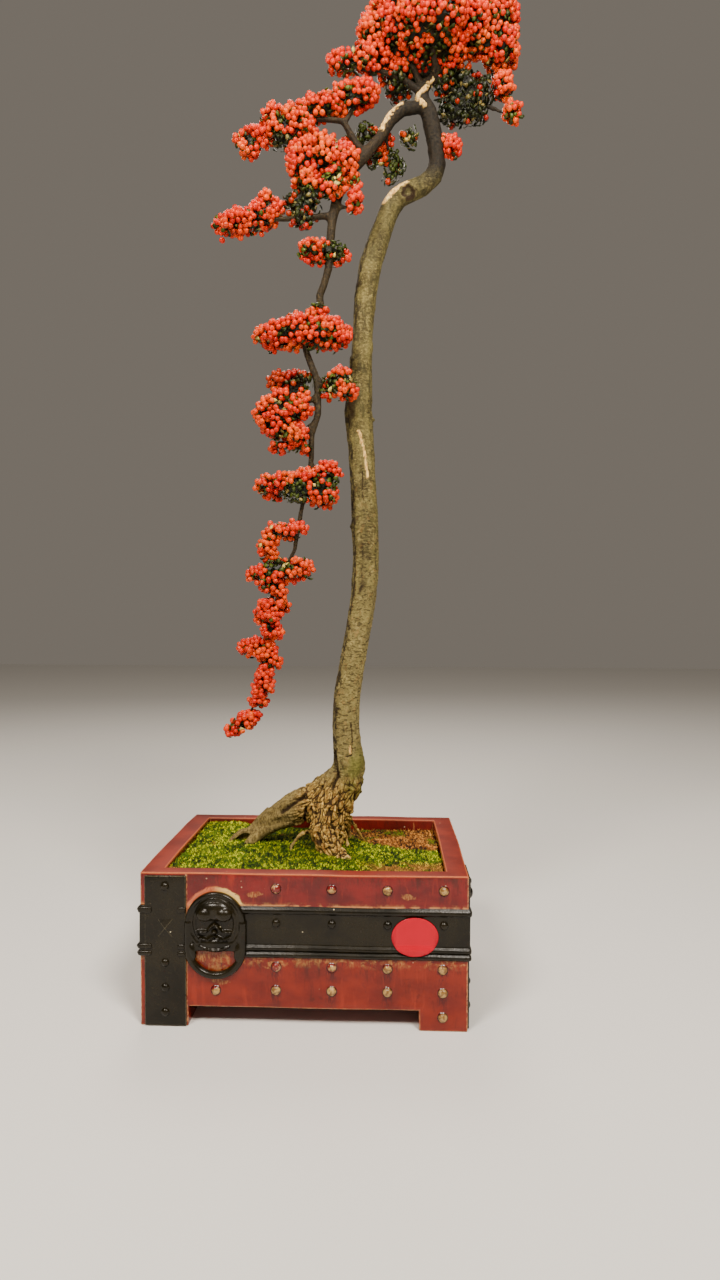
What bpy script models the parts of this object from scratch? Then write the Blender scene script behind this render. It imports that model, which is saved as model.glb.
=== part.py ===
# Cotoneaster literati bonsai: a tall bare trunk with a cascading branch, tiers of
# leaves and red berries, gnarled surface roots, and a chest-shaped glazed pot.
# Metres, +Z up. The tree is modelled round the pot's centre line, front towards -Y,
# and at the end everything is shifted so that the origin is under the middle of it all.
import math
import random

import bmesh
import bpy
from mathutils import Matrix, Vector, noise
from mathutils.bvhtree import BVHTree

MM = 0.001
SEED = 7

# Clearance that touching pieces keep, and how much wider the sockets round wood are
GAP = 0.3 * MM
WOOD_CLEARANCE = 0.45

# Corners closer than this are welded
WELD = 0.02 * MM

# Faces that meet at less than this are joined as flat
FLAT_ANGLE = math.radians(0.5)

# Pot body
POT_WIDTH = 340 * MM
POT_DEPTH = 231.5 * MM
POT_HEIGHT = 161.5 * MM
SIDE_WALL = 23 * MM
LONG_WALL = 16 * MM
FLOOR_THICKNESS = 13 * MM
FOOT_HEIGHT = 21 * MM
FOOT_WIDTH = 50 * MM
DRAIN_RADIUS = 11 * MM
DRAIN_SIDES = 12
DRAIN_SPACING = 140 * MM

# Black iron-work in relief on each outer face, measured from the face's left end
STRAP_START = 5 * MM
STRAP_WIDTH = 43.4 * MM
STRAP_BOTTOM = 1 * MM
STRAP_TOP = 158.5 * MM
STRAP_RELIEF = 2 * MM
STRAP_RIVETS = (148 * MM, 67.7 * MM, 41.4 * MM, 15.6 * MM)
STRAP_STUD_HEIGHT = 104 * MM
STRAP_STUD = (24 * MM, 34 * MM, 3 * MM)
BAND_BOTTOM = 73.7 * MM
BAND_TOP = 127.7 * MM
BAND_RELIEF = 1.6 * MM
RIDGE_RELIEF = 3.2 * MM
LOW_LIP_RELIEF = 2.8 * MM
SUNK = 1 * MM
WRAP_LENGTH = 14 * MM
WRAP_RELIEF = 4.2 * MM
MASK_CENTRE = 79.3 * MM
MASK_HEIGHT = 111.2 * MM
MASK_RADIUS = 31 * MM
MASK_SIDES = 11
MASK_BEVEL = 2.5 * MM
MASK_PLATE = 4.5 * MM
RING_HEIGHT = 83.9 * MM
RING_RADIUS = 27.5 * MM
RING_THICKNESS = 8 * MM
RING_STAND_OFF = 2 * MM
RING_SIDES = 12

# Edges of the band's ridges, measured up from its bottom and down from its top
LOW_LIP = (1 * MM, 6 * MM)
MIDDLE_RIDGE = (8.5 * MM, 13 * MM)
TOP_RIDGE = (6 * MM, 1.5 * MM)
RIDGE_SLOPE = 1.4 * MM

# Features of the mask, in millimetres: across, out and up from the plate's middle, then
# half its width, depth and height. The brow and the whisker are there on both sides.
MASK_MIDDLE_FEATURES = {"nose": (0, 6, -2, 4.6, 6, 9), "chin": (0, 5, -19, 14, 5.5, 5.5)}
MASK_SIDE_FEATURES = {"brow": (11, 6, 8, 11, 7.25, 10), "whisker": (11, 5, -7, 10.5, 4.6, 3.6)}

# Rivets in columns, the first one this far from the left end
FIRST_COLUMN = 142 * MM
COLUMN_SPACING = 57.5 * MM
RIVET_ROWS = (146 * MM, 64.5 * MM, 40 * MM)
BAND_RIVET_ROW = 110.5 * MM
RIVET_RADIUS = 4.8 * MM
RIVET_SIDES = 5
RIVET_RELIEF = 3 * MM
UNDER_RING_RIVET = 38.7 * MM
FOOT_RIVET = 14.7 * MM

# Soil, moss and drainage screens. The dry moss's edge is x and y in millimetres, from
# the back wall round to the right wall.
SOIL_TOP = 141 * MM
MOSS_LOW = 150 * MM
MOSS_HIGH = 157.5 * MM
MOSS_LUMPS = 1.6 * MM
MOSS_LUMP_LENGTH = 30 * MM
GROUND_CELLS = (8, 6)
DRY_EDGE = [(18, 116), (22, 66), (52, 34), (84, 8), (118, -2), (170, -10)]
SCREEN_SIZE = 36 * MM
SCREEN_THICKNESS = 1.2 * MM
SCREEN_HOLE = 10 * MM

# Blank oval sticker on the front band, stuck over the lower moulding
LABEL_CENTRE = (115 * MM, 98.8 * MM)
LABEL_SIZE = (48 * MM, 40 * MM)
LABEL_THICKNESS = 0.7 * MM
LABEL_GAP = 0.4 * MM

# Berries, raised all over the skin of a spray, and leaves
BERRY_PITCH = 12.8 * MM
BERRY_RELIEF = 3.6 * MM
DEEPEST_CREASE = 0.8 * MM
LEAF_LENGTH = 14 * MM
LEAF_WIDTH = 8 * MM
LEAF_THICKNESS = 0.9 * MM
LEAF_OUTLINE = [(0, 0.7), (0.6, 1), (1, 0), (0.6, -1), (0, -0.7)]
LEAF_SUNK = 4 * MM
LEAF_SPACING = 17.5 * MM
LEAF_SWAY = 0.3
LEAF_DROOP = (-0.6, 0.1)
LEAF_CLEARANCE = 1.12
TRIES = 2.5

# How far the core of a spray stays inside its mounds
CORE_INSET = 3.5 * MM
SEAT_DEPTH = 0.15
STEEPEST_SEAT = math.radians(30)

# Roots thinner than this, in millimetres, get fewer sides
THIN_ROOT = 6

# Routes of the wood, in millimetres: x, y, z and radius, from the soil upwards
TRUNK = [
    (16, 2, 160, 19), (18, 2, 185, 22), (26, 3, 208, 22.5), (37, 4, 232, 22), (41, 4, 255, 19.5),
    (39, 4, 275, 17.2), (37, 4, 298, 16.5), (39, 3, 337, 15.9), (45, 2, 377, 15.6), (52, 1, 417, 15.2),
    (58, 0, 456, 15.4), (60, 0, 494, 15.6), (59, 0, 530, 16), (57, 1, 580, 15.5), (54, 2, 625, 15.6),
    (50, 3, 668, 16.4), (53, 4, 710, 14.1), (55, 5, 755, 12.6), (58, 6, 799, 13.2), (64, 7, 840, 14),
    (73, 7, 869, 13), (84, 6, 896, 12.5), (95, 5, 914, 12.6), (110, 4, 921, 12), (124, 4, 927, 11.2),
    (135, 4, 937, 11), (140, 4, 951, 10.6), (138, 4, 973, 9.8), (133, 4, 997, 10.4), (129, 4, 1013, 10),
    (123, 4, 1026, 8.2), (124, 4, 1037, 7), (133, 4, 1047, 6.4), (141, 4, 1058, 5.8), (144, 4, 1076, 4.7),
    (142, 3, 1094, 3.6),
]
CASCADE = [
    (124, 0, 1014, 8), (111, -4, 1010, 7.6), (99, -8, 1006, 7.5), (88, -11, 994, 7.5), (80, -13, 981, 7.5),
    (72, -16, 967, 7), (57, -20, 947, 6.9), (43, -22, 931, 6.4), (33, -24, 913, 6.3), (26, -26, 896, 6.6),
    (21, -26, 872, 6), (18, -26, 842, 5.2), (17, -26, 820, 5.1), (12, -26, 802, 4.9), (7, -26, 789, 4.9),
    (9, -26, 774, 5), (4, -26, 757, 4.6), (-8, -26, 741, 4.5), (-9, -27, 730, 4.3), (-4, -28, 716, 4.3),
    (3, -30, 699, 4.4), (6, -31, 680, 4.5), (6, -31, 655, 4.4), (-1, -31, 632, 4.2), (-1, -31, 606, 3.7),
    (-5, -31, 579, 3.2), (-12, -31, 549, 3), (-17, -31, 522, 2.9), (-20, -31, 502, 2.9),
    (-32, -31, 480, 2.9), (-45, -31, 453, 2.8), (-48, -31, 421, 2.7), (-50, -31, 387, 2.6),
    (-57, -31, 343, 2.5), (-72, -31, 315, 2.4), (-90, -31, 299, 2.2),
]
ROOTS = {
    "left": [(32, 4, 232, 22), (2, 8, 208, 23), (-28, 14, 196, 19), (-50, 22, 183, 15.5),
             (-72, 30, 167, 10.5), (-92, 32, 154, 6), (-110, 28, 143, 4), (-118, 24, 132, 3)],
    "front": [(27, 2, 222, 22), (14, -6, 196, 20), (12, -14, 176, 17.5), (21, -24, 160, 12.5),
              (35, -34, 149, 8.5), (44, -41, 137, 6)],
    "back": [(26, 10, 214, 18), (14, 32, 186, 13), (2, 52, 160, 9), (-6, 64, 138, 6)],
    "right": [(33, 10, 204, 9), (37, 32, 178, 6), (38, 52, 152, 4.8), (39, 60, 134, 4)],
    "thin_right": [(35, 8, 200, 4.5), (48, 22, 173, 2.8), (60, 33, 151, 2.4), (66, 39, 134, 2.2)],
    "left_curl": [(-70, 26, 166, 4), (-88, 20, 166, 3), (-103, 16, 157, 2.6), (-108, 15, 134, 2.4)],
    "middle_curl": [(4, -6, 178, 5), (-16, -10, 172, 3), (-26, -13, 158, 2.6), (-23, -14, 134, 2.4)],
}
TWIGS = {
    "crown_left": [(124, 3, 1030, 6), (100, 0, 1046, 4.6), (72, -5, 1053, 4), (30, -7, 1057, 2.6)],
    "crown_top_left": [(125, 4, 1034, 5), (112, 3, 1060, 4.4), (94, 0, 1084, 3.4)],
    "crown_front": [(138, 3, 1056, 5), (132, -18, 1072, 4), (130, -32, 1080, 3)],
    "crown_back": [(139, 4, 1057, 5), (142, 26, 1074, 4), (141, 38, 1082, 3)],
    "crown_right": [(142, 4, 1060, 5), (160, 5, 1076, 4.2), (206, 5, 1096, 2.8)],
    "right_tip": [(138, 4, 1050, 5), (160, 8, 1036, 4.2), (190, 8, 1022, 3.4), (216, 1, 1006, 2.4)],
    "right_sprig": [(137, 4, 978, 4), (156, 5, 968, 2.4)],
    "inner_sprig": [(80, -12, 979, 4), (84, 0, 964, 3)],
    "long_tier": [(58, -20, 947, 6.2), (44, -19, 966, 5), (32, -18, 988, 4.6), (4, -18, 990, 4),
                  (-36, -19, 980, 3.2), (-66, -20, 969, 2.4)],
    "long_tier_back": [(33, -18, 984, 4), (46, -16, 1006, 3)],
    "dome": [(36, -23, 917, 5), (8, -25, 930, 3.4)],
    "dome_right": [(24, -26, 888, 4), (40, -28, 886, 2.6)],
    "left_arm": [(22, -26, 878, 5), (-4, -27, 876, 4.4), (-40, -28, 874, 3.4), (-64, -28, 868, 2.6)],
    "small_tier": [(18, -26, 842, 4), (2, -27, 832, 2.8)],
    "small_tier_right": [(17, -26, 840, 4), (28, -26, 832, 2.8)],
    "wide_tier_left": [(-5, -26, 742, 4), (-38, -29, 738, 2.8)],
    "wide_tier_right": [(4, -26, 754, 4), (22, -28, 738, 2.8)],
    "right_tuft": [(2, -30, 698, 4), (22, -30, 682, 2.6)],
    "heart": [(6, -31, 676, 4), (-20, -33, 660, 2.8)],
    "heart_foot": [(4, -31, 648, 4), (-24, -33, 620, 2.6)],
    "fan_left": [(-4, -31, 578, 3.6), (-40, -32, 570, 2.5)],
    "fan_right": [(-2, -31, 598, 3.6), (16, -30, 588, 2.5)],
    "low_left": [(-16, -31, 520, 3), (-40, -32, 518, 2.4)],
    "saddle_right": [(-27, -31, 484, 3), (-12, -32, 476, 2.4)],
    "saddle_left": [(-38, -31, 470, 3), (-58, -32, 470, 2.4)],
    "tail_arm": [(-50, -31, 388, 2.8), (-72, -32, 388, 2.3)],
}

# Sprays, in millimetres: rounded mounds (x, y, z and three radii) that berries cover,
# then mounds of leaves alone. The first and last mound set how the spray slopes.
SPRAYS = {
    "crown_top": ([(110, -36, 1091, 21, 22, 22), (152, -40, 1088, 22, 24, 24), (114, 2, 1116, 28, 40, 34),
                   (154, 2, 1122, 29, 42, 34), (114, 42, 1088, 20, 22, 22), (150, 42, 1092, 24, 24, 24)],
                  [(113, 0, 1074, 22, 34, 20), (156, 2, 1072, 22, 34, 20)]),
    "crown_top_left": ([(62, -8, 1092, 20, 28, 22), (68, 4, 1108, 17, 34, 26)], [(78, 2, 1062, 17, 24, 20)]),
    "crown_left": ([(25, -8, 1059, 18, 20, 18), (38, -6, 1064, 15, 22, 18)], []),
    "crown_right": ([(212, 4, 1076, 25, 34, 26), (208, 4, 1110, 26, 42, 34)], []),
    "crown_low_right": ([(184, 12, 1036, 22, 26, 18)], [(174, 12, 1012, 20, 20, 20)]),
    "right_tip": ([(226, 0, 1007, 18, 17, 18)], []),
    "right_sprig": ([(162, 5, 968, 12, 13, 15)], []),
    "inner_sprig": ([(87, 10, 968, 12, 13, 14)], [(94, 4, 948, 13, 13, 13)]),
    "long_tier": ([(-32, -20, 989, 20, 20, 17), (-4, -18, 1000, 22, 22, 19), (24, -16, 1008, 21, 23, 18),
                   (54, -14, 1018, 26, 25, 20)], []),
    "long_tier_tip": ([(-84, -20, 965, 14, 15, 13), (-67, -20, 976, 15, 17, 15)], []),
    "dome": ([(-12, -30, 940, 24, 28, 20), (8, -22, 947, 27, 32, 23), (34, -26, 940, 24, 28, 18)],
             [(-6, -26, 908, 22, 22, 22), (-4, -26, 886, 16, 17, 16)]),
    "dome_right": ([(47, -28, 892, 13, 14, 18)], []),
    "left_arm": ([(-88, -32, 867, 24, 22, 17), (-62, -26, 876, 23, 25, 18), (-42, -22, 887, 14, 20, 14)], []),
    "small_tier": ([(-4, -32, 836, 19, 20, 17), (28, -24, 836, 20, 22, 16)], []),
    "wide_tier": ([(-46, -26, 744, 26, 24, 19), (-12, -30, 750, 26, 30, 20), (26, -34, 742, 25, 24, 20)], []),
    "right_tuft": ([(29, -36, 688, 23, 20, 21)], []),
    "heart": ([(-52, -38, 652, 20, 20, 17), (-30, -32, 668, 26, 28, 20), (-14, -38, 662, 17, 21, 18)], []),
    "heart_foot": ([(-38, -30, 621, 18, 19, 15), (-24, -30, 625, 13, 18, 14)], []),
    "fan": ([(-56, -32, 574, 16, 17, 17), (-32, -32, 574, 18, 20, 19), (-8, -33, 580, 20, 20, 20),
             (19, -30, 590, 19, 17, 17), (17, -32, 562, 16, 16, 18)], []),
    "low_tier": ([(-46, -32, 522, 17, 17, 14), (-18, -32, 526, 19, 18, 16)], []),
    "saddle": ([(-62, -32, 474, 17, 17, 17), (-46, -32, 489, 12, 14, 13), (-32, -32, 480, 17, 18, 16),
                (-11, -32, 481, 19, 18, 18)], []),
    "tail_upper": ([(-52, -32, 438, 18, 18, 15), (-47, -32, 422, 20, 19, 15)], []),
    "tail_middle": ([(-76, -32, 391, 16, 17, 16), (-51, -32, 390, 19, 18, 16)], []),
    "tail_lower": ([(-53, -32, 361, 18, 18, 13), (-58, -32, 345, 18, 18, 13)], []),
    "tail_tip": ([(-92, -32, 297, 17, 16, 15), (-70, -32, 311, 19, 18, 16)], []),
}

rng = random.Random(SEED)


def clear_scene():
    for obj in list(bpy.data.objects):
        bpy.data.objects.remove(obj, do_unlink=True)


def make_material(name, colour, roughness):
    material = bpy.data.materials.new(name)
    material.use_nodes = True
    shader = material.node_tree.nodes["Principled BSDF"]
    shader.inputs["Base Color"].default_value = (*colour, 1.0)
    shader.inputs["Roughness"].default_value = roughness
    shader.inputs["Metallic"].default_value = 0.0
    return material


def link_mesh(name, mesh, materials=()):
    obj = bpy.data.objects.new(name, mesh)
    bpy.context.scene.collection.objects.link(obj)
    for material in materials:
        mesh.materials.append(material)
    return obj


def mesh_object(name, bm, materials=()):
    mesh = bpy.data.meshes.new(name)
    bm.to_mesh(mesh)
    bm.free()
    return link_mesh(name, mesh, materials)


# Basic solids

def block(name, low, high):
    bm = bmesh.new()
    bmesh.ops.create_cube(bm, size=1.0)
    low, high = Vector(low), Vector(high)
    for vert in bm.verts:
        vert.co = Vector(low[i] + (vert.co[i] + 0.5) * (high[i] - low[i]) for i in range(3))
    return mesh_object(name, bm)


def ball(name, centre, radii):
    bm = bmesh.new()
    bmesh.ops.create_uvsphere(bm, u_segments=5, v_segments=3, radius=1.0)
    bmesh.ops.rotate(bm, matrix=Matrix.Rotation(math.radians(90), 3, "X"), verts=bm.verts)
    bmesh.ops.scale(bm, vec=radii, verts=bm.verts)
    bmesh.ops.translate(bm, vec=centre, verts=bm.verts)
    return mesh_object(name, bm)


def drum(name, centre, base_radius, top_radius, height, sides, outwards="Z"):
    """A round or tapered drum whose base is at centre and whose axis is Z or -Y."""
    bm = bmesh.new()
    bmesh.ops.create_cone(bm, cap_ends=True, segments=sides,
                          radius1=base_radius, radius2=top_radius, depth=height)
    bmesh.ops.translate(bm, vec=(0, 0, height / 2), verts=bm.verts)
    if outwards == "-Y":
        bmesh.ops.rotate(bm, matrix=Matrix.Rotation(math.radians(90), 3, "X"), verts=bm.verts)
    bmesh.ops.translate(bm, vec=centre, verts=bm.verts)
    return mesh_object(name, bm)


def curve_to_mesh(obj):
    """A mesh object in place of a curve object, with its end caps welded on."""
    depsgraph = bpy.context.evaluated_depsgraph_get()
    mesh = bpy.data.meshes.new_from_object(obj.evaluated_get(depsgraph))
    bm = bmesh.new()
    bm.from_mesh(mesh)
    bmesh.ops.remove_doubles(bm, verts=bm.verts, dist=WELD)
    bmesh.ops.recalc_face_normals(bm, faces=bm.faces)
    result = mesh_object(obj.name + "_mesh", bm)
    bpy.data.meshes.remove(mesh)
    curve = obj.data
    bpy.data.objects.remove(obj)
    bpy.data.curves.remove(curve)
    return result


def outline_bar(name, outline, start, end):
    """A bar along X from start to end whose section is an outline of (y, z) points."""
    curve = bpy.data.curves.new(name, "CURVE")
    curve.dimensions = "2D"
    curve.fill_mode = "BOTH"
    curve.extrude = (end - start) / 2
    spline = curve.splines.new("POLY")
    spline.points.add(len(outline) - 1)
    for point, (y, z) in zip(spline.points, outline):
        point.co = (y, z, 0, 1)
    spline.use_cyclic_u = True
    obj = bpy.data.objects.new(name, curve)
    bpy.context.scene.collection.objects.link(obj)
    bar = curve_to_mesh(obj)
    for vert in bar.data.vertices:
        across, up, along = vert.co
        vert.co = (along + (start + end) / 2, across, up)
    return bar


# Booleans

def take_mesh(obj, mesh):
    old = obj.data
    obj.data = mesh
    bpy.data.meshes.remove(old)


def combine(target, others, operation, solver="MANIFOLD"):
    """Joins or cuts the target with every other solid at once, then removes the others."""
    heap = bpy.data.collections.new("heap")
    bpy.context.scene.collection.children.link(heap)
    for obj in others:
        heap.objects.link(obj)
    modifier = target.modifiers.new("combine", "BOOLEAN")
    modifier.operation = operation
    modifier.solver = solver
    modifier.operand_type = "COLLECTION"
    modifier.collection = heap
    depsgraph = bpy.context.evaluated_depsgraph_get()
    mesh = bpy.data.meshes.new_from_object(target.evaluated_get(depsgraph))
    target.modifiers.clear()
    take_mesh(target, mesh)
    for obj in list(heap.objects):
        bpy.data.objects.remove(obj, do_unlink=True)
    bpy.data.collections.remove(heap)
    return target


def islands(bm):
    """The connected groups of faces of a mesh."""
    left = set(bm.faces)
    groups = []
    while left:
        stack = [left.pop()]
        group = [stack[0]]
        while stack:
            for edge in stack.pop().edges:
                for face in edge.link_faces:
                    if face in left:
                        left.remove(face)
                        stack.append(face)
                        group.append(face)
        groups.append(group)
    return groups


def signed_volume(faces):
    total = 0.0
    for face in faces:
        corners = [vert.co for vert in face.verts]
        for second, third in zip(corners[1:], corners[2:]):
            total += corners[0].dot(second.cross(third)) / 6
    return total


def keep_one_body(obj):
    """Fills sealed hollows and drops loose scraps, so that one closed body is left."""
    bm = bmesh.new()
    bm.from_mesh(obj.data)
    bmesh.ops.remove_doubles(bm, verts=bm.verts, dist=WELD)
    bmesh.ops.dissolve_degenerate(bm, edges=bm.edges, dist=WELD)
    groups = sorted(islands(bm), key=signed_volume)
    scraps = [face for group in groups[:-1] for face in group]
    dropped = sum(max(0.0, signed_volume(group)) for group in groups[:-1])
    bmesh.ops.delete(bm, geom=scraps, context="FACES")
    bmesh.ops.dissolve_limit(bm, angle_limit=FLAT_ANGLE, verts=bm.verts, edges=bm.edges)
    bmesh.ops.triangulate(bm, faces=bm.faces)
    print(obj.name, "triangles", len(bm.faces), "dropped mm3", round(dropped / MM ** 3, 1))
    bm.to_mesh(obj.data)
    bm.free()
    return obj


# Pot

def band_outline():
    """Section of the black band: a flat field with a ridge above and two below."""
    bottom, top = BAND_BOTTOM, BAND_TOP
    heights = [
        (bottom, -SUNK), (bottom, 0),
        (bottom + LOW_LIP[0], LOW_LIP_RELIEF), (bottom + LOW_LIP[1], LOW_LIP_RELIEF),
        (bottom + MIDDLE_RIDGE[0] - RIDGE_SLOPE, BAND_RELIEF), (bottom + MIDDLE_RIDGE[0], RIDGE_RELIEF),
        (bottom + MIDDLE_RIDGE[1], RIDGE_RELIEF), (bottom + MIDDLE_RIDGE[1] + RIDGE_SLOPE, BAND_RELIEF),
        (top - TOP_RIDGE[0] - RIDGE_SLOPE, BAND_RELIEF), (top - TOP_RIDGE[0], RIDGE_RELIEF),
        (top - TOP_RIDGE[1], RIDGE_RELIEF), (top, 0), (top, -SUNK),
    ]
    return [(-relief, height) for height, relief in heights]


def band_relief(height):
    """How far the band stands out at a given height."""
    points = sorted((z, -y) for y, z in band_outline() if -y >= 0)
    for (low_z, low_y), (high_z, high_y) in zip(points, points[1:]):
        if low_z <= height <= high_z and high_z > low_z:
            return low_y + (high_y - low_y) * (height - low_z) / (high_z - low_z)
    return 0.0


def rivet(x, z, stand=0.0):
    """A low round-headed rivet standing on relief of the given height."""
    head = RIVET_RADIUS / 2
    return drum("rivet", (x, SUNK - stand, z), RIVET_RADIUS, head, RIVET_RELIEF + SUNK, RIVET_SIDES, "-Y")


def mask_feature(name, feature, x, z, side):
    across, out, up, *radii = [value * MM for value in feature]
    return ball(name, (x + side * across, -out, z + up), radii)


def beast_mask(x, z):
    """Door-knocker mask: a round plate with brows, nose, whiskers and chin."""
    pieces = [drum("plate", (x, SUNK, z), MASK_RADIUS, MASK_RADIUS - MASK_BEVEL,
                   SUNK + MASK_PLATE, MASK_SIDES, "-Y")]
    for name, feature in MASK_MIDDLE_FEATURES.items():
        pieces.append(mask_feature(name, feature, x, z, 0))
    for name, feature in MASK_SIDE_FEATURES.items():
        pieces += [mask_feature(name, feature, x, z, side) for side in (-1, 1)]
    return pieces


def knocker_ring(x, z):
    bpy.ops.mesh.primitive_torus_add(
        location=(0, 0, 0), major_radius=RING_RADIUS, minor_radius=RING_THICKNESS / 2,
        major_segments=RING_SIDES, minor_segments=4)
    ring = bpy.context.object
    turn = Matrix.Translation((x, -RING_STAND_OFF, z)) @ Matrix.Rotation(math.radians(90), 4, "X")
    ring.data.transform(turn)
    return ring


def face_relief(half_length):
    """All relief on one outer face: x to the right, -y outwards, z up, x = 0 mid-face."""
    left = -half_length
    strap_low = left + STRAP_START
    strap_high = strap_low + STRAP_WIDTH
    strap_middle = (strap_low + strap_high) / 2
    mask_x = left + MASK_CENTRE
    black = [
        block("strap", (strap_low, -STRAP_RELIEF, STRAP_BOTTOM), (strap_high, SUNK, STRAP_TOP)),
        outline_bar("band", band_outline(), mask_x, half_length + SUNK),
        knocker_ring(mask_x, RING_HEIGHT),
    ]
    black += beast_mask(mask_x, MASK_HEIGHT)
    black += [rivet(strap_middle, height, STRAP_RELIEF) for height in STRAP_RIVETS]
    width, height, relief = STRAP_STUD
    stud = drum("stud", (0, 0, 0), math.sqrt(0.5), 0.0, 1.0, 4, "-Y")
    stud.data.transform(Matrix.Rotation(math.radians(45), 4, "Y"))
    stud.data.transform(Matrix.Diagonal((width, relief + STRAP_RELIEF, height, 1)))
    stud.data.transform(Matrix.Translation((strap_middle, 0, STRAP_STUD_HEIGHT)))
    black.append(stud)
    wraps = [(BAND_TOP - TOP_RIDGE[0], BAND_TOP - TOP_RIDGE[1]),
             (BAND_BOTTOM + MIDDLE_RIDGE[0], BAND_BOTTOM + MIDDLE_RIDGE[1])]
    for low, high in wraps:
        black.append(block("wrap", (left - STRAP_RELIEF, -WRAP_RELIEF, low),
                           (left + WRAP_LENGTH, SUNK, high)))
    columns = []
    x = left + FIRST_COLUMN
    while x < half_length - RIVET_RADIUS * 3:
        columns.append(x)
        x += COLUMN_SPACING
    red = []
    for x in columns:
        red += [rivet(x, height) for height in RIVET_ROWS]
        black.append(rivet(x, BAND_RIVET_ROW, BAND_RELIEF))
    red.append(rivet(mask_x, UNDER_RING_RIVET))
    red.append(rivet(columns[-1], FOOT_RIVET))
    return red, black


def paint(obj, materials, index):
    for material in materials:
        obj.data.materials.append(material)
    for polygon in obj.data.polygons:
        polygon.material_index = index


def build_pot(glazes):
    """The fired pot: walls, floor and feet in one, with its iron-work in relief."""
    half_width, half_depth = POT_WIDTH / 2, POT_DEPTH / 2
    pot = block("pot", (-half_width, -half_depth, 0), (half_width, half_depth, POT_HEIGHT))
    paint(pot, glazes, 0)
    pieces = []
    for turn in range(4):
        half_length, offset = ((half_width, half_depth), (half_depth, half_width))[turn % 2]
        place = Matrix.Rotation(math.radians(90) * turn, 4, "Z") @ Matrix.Translation((0, -offset, 0))
        for index, group in enumerate(face_relief(half_length)):
            for piece in group:
                paint(piece, glazes, index)
                piece.data.transform(place)
                pieces.append(piece)
    combine(pot, pieces, "UNION")
    floor = FOOT_HEIGHT + FLOOR_THICKNESS
    clear_x, clear_y = half_width - FOOT_WIDTH, half_depth - FOOT_WIDTH
    past = FOOT_HEIGHT
    cutters = [
        block("cavity", (-half_width + SIDE_WALL, -half_depth + LONG_WALL, floor),
              (half_width - SIDE_WALL, half_depth - LONG_WALL, POT_HEIGHT + past)),
        block("arch_front", (-clear_x, -half_depth - past, -past), (clear_x, half_depth + past, FOOT_HEIGHT)),
        block("arch_side", (-half_width - past, -clear_y, -past), (half_width + past, clear_y, FOOT_HEIGHT)),
    ]
    for side in (-1, 1):
        cutters.append(drum("drain", (side * DRAIN_SPACING / 2, 0, 0),
                            DRAIN_RADIUS, DRAIN_RADIUS, floor + past, DRAIN_SIDES))
    for cutter in cutters:
        paint(cutter, glazes, 0)
    combine(pot, cutters, "DIFFERENCE")
    return keep_one_body(pot)


def build_screen(name, x, material):
    """Square mesh over a drainage hole, lying on the pot's floor."""
    floor = FOOT_HEIGHT + FLOOR_THICKNESS + GAP
    half = SCREEN_SIZE / 2
    screen = block(name, (x - half, -half, floor), (x + half, half, floor + SCREEN_THICKNESS))
    near_edge = SCREEN_SIZE / 5 - SCREEN_HOLE / 2
    holes = []
    for column in (-1, 1):
        for row in (-1, 1):
            across = sorted((x + column * near_edge, x + column * (near_edge + SCREEN_HOLE)))
            along = sorted((row * near_edge, row * (near_edge + SCREEN_HOLE)))
            holes.append(block("mesh_hole", (across[0], along[0], floor - SCREEN_THICKNESS),
                               (across[1], along[1], floor + 2 * SCREEN_THICKNESS)))
    combine(screen, holes, "DIFFERENCE")
    screen.data.materials.append(material)
    return keep_one_body(screen)


def build_label(material):
    """Thin oval that follows the band's moulding, just clear of it."""
    x, z = LABEL_CENTRE
    bm = bmesh.new()
    bmesh.ops.create_circle(bm, cap_ends=True, segments=20, radius=0.5)
    bmesh.ops.rotate(bm, matrix=Matrix.Rotation(math.radians(90), 3, "X"), verts=bm.verts)
    bmesh.ops.scale(bm, vec=(LABEL_SIZE[0], 1, LABEL_SIZE[1]), verts=bm.verts)
    bmesh.ops.translate(bm, vec=(x, 0, z), verts=bm.verts)
    for _, height in band_outline():
        geometry = bm.verts[:] + bm.edges[:] + bm.faces[:]
        bmesh.ops.bisect_plane(bm, geom=geometry, plane_co=(0, 0, height), plane_no=(0, 0, 1), dist=1e-6)
    for vert in bm.verts:
        vert.co.y = -POT_DEPTH / 2 - max(band_relief(vert.co.z), BAND_RELIEF) - LABEL_GAP
    walls = bmesh.ops.extrude_face_region(bm, geom=bm.faces[:])
    front = [item for item in walls["geom"] if isinstance(item, bmesh.types.BMVert)]
    bmesh.ops.translate(bm, vec=(0, -LABEL_THICKNESS, 0), verts=front)
    bmesh.ops.recalc_face_normals(bm, faces=bm.faces)
    return keep_one_body(mesh_object("label", bm, [material]))


# Wood

def limb(name, route, resolution, grow=0.0):
    """A tapering tube along a route given in millimetres, wider and longer by grow."""
    points = [Vector(point) for point in route]
    first = Vector((*(points[0] - points[1]).to_3d().normalized(), 0))
    last = Vector((*(points[-1] - points[-2]).to_3d().normalized(), 0))
    points[0] = points[0] + first * grow
    points[-1] = points[-1] + last * grow
    curve = bpy.data.curves.new(name, "CURVE")
    curve.dimensions = "3D"
    curve.bevel_depth = MM
    curve.bevel_resolution = resolution
    curve.use_fill_caps = True
    spline = curve.splines.new("POLY")
    spline.points.add(len(points) - 1)
    for point, place in zip(spline.points, points):
        point.co = (*(place.to_3d() * MM), 1)
        point.radius = place[3] + grow
    obj = bpy.data.objects.new(name, curve)
    bpy.context.scene.collection.objects.link(obj)
    return curve_to_mesh(obj)


def trunk_and_roots(grow=0.0):
    limbs = [limb("trunk", TRUNK, 2, grow)]
    for name, route in ROOTS.items():
        limbs.append(limb("root_" + name, route, 2 if route[0][3] > THIN_ROOT else 1, grow))
    return limbs


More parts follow.
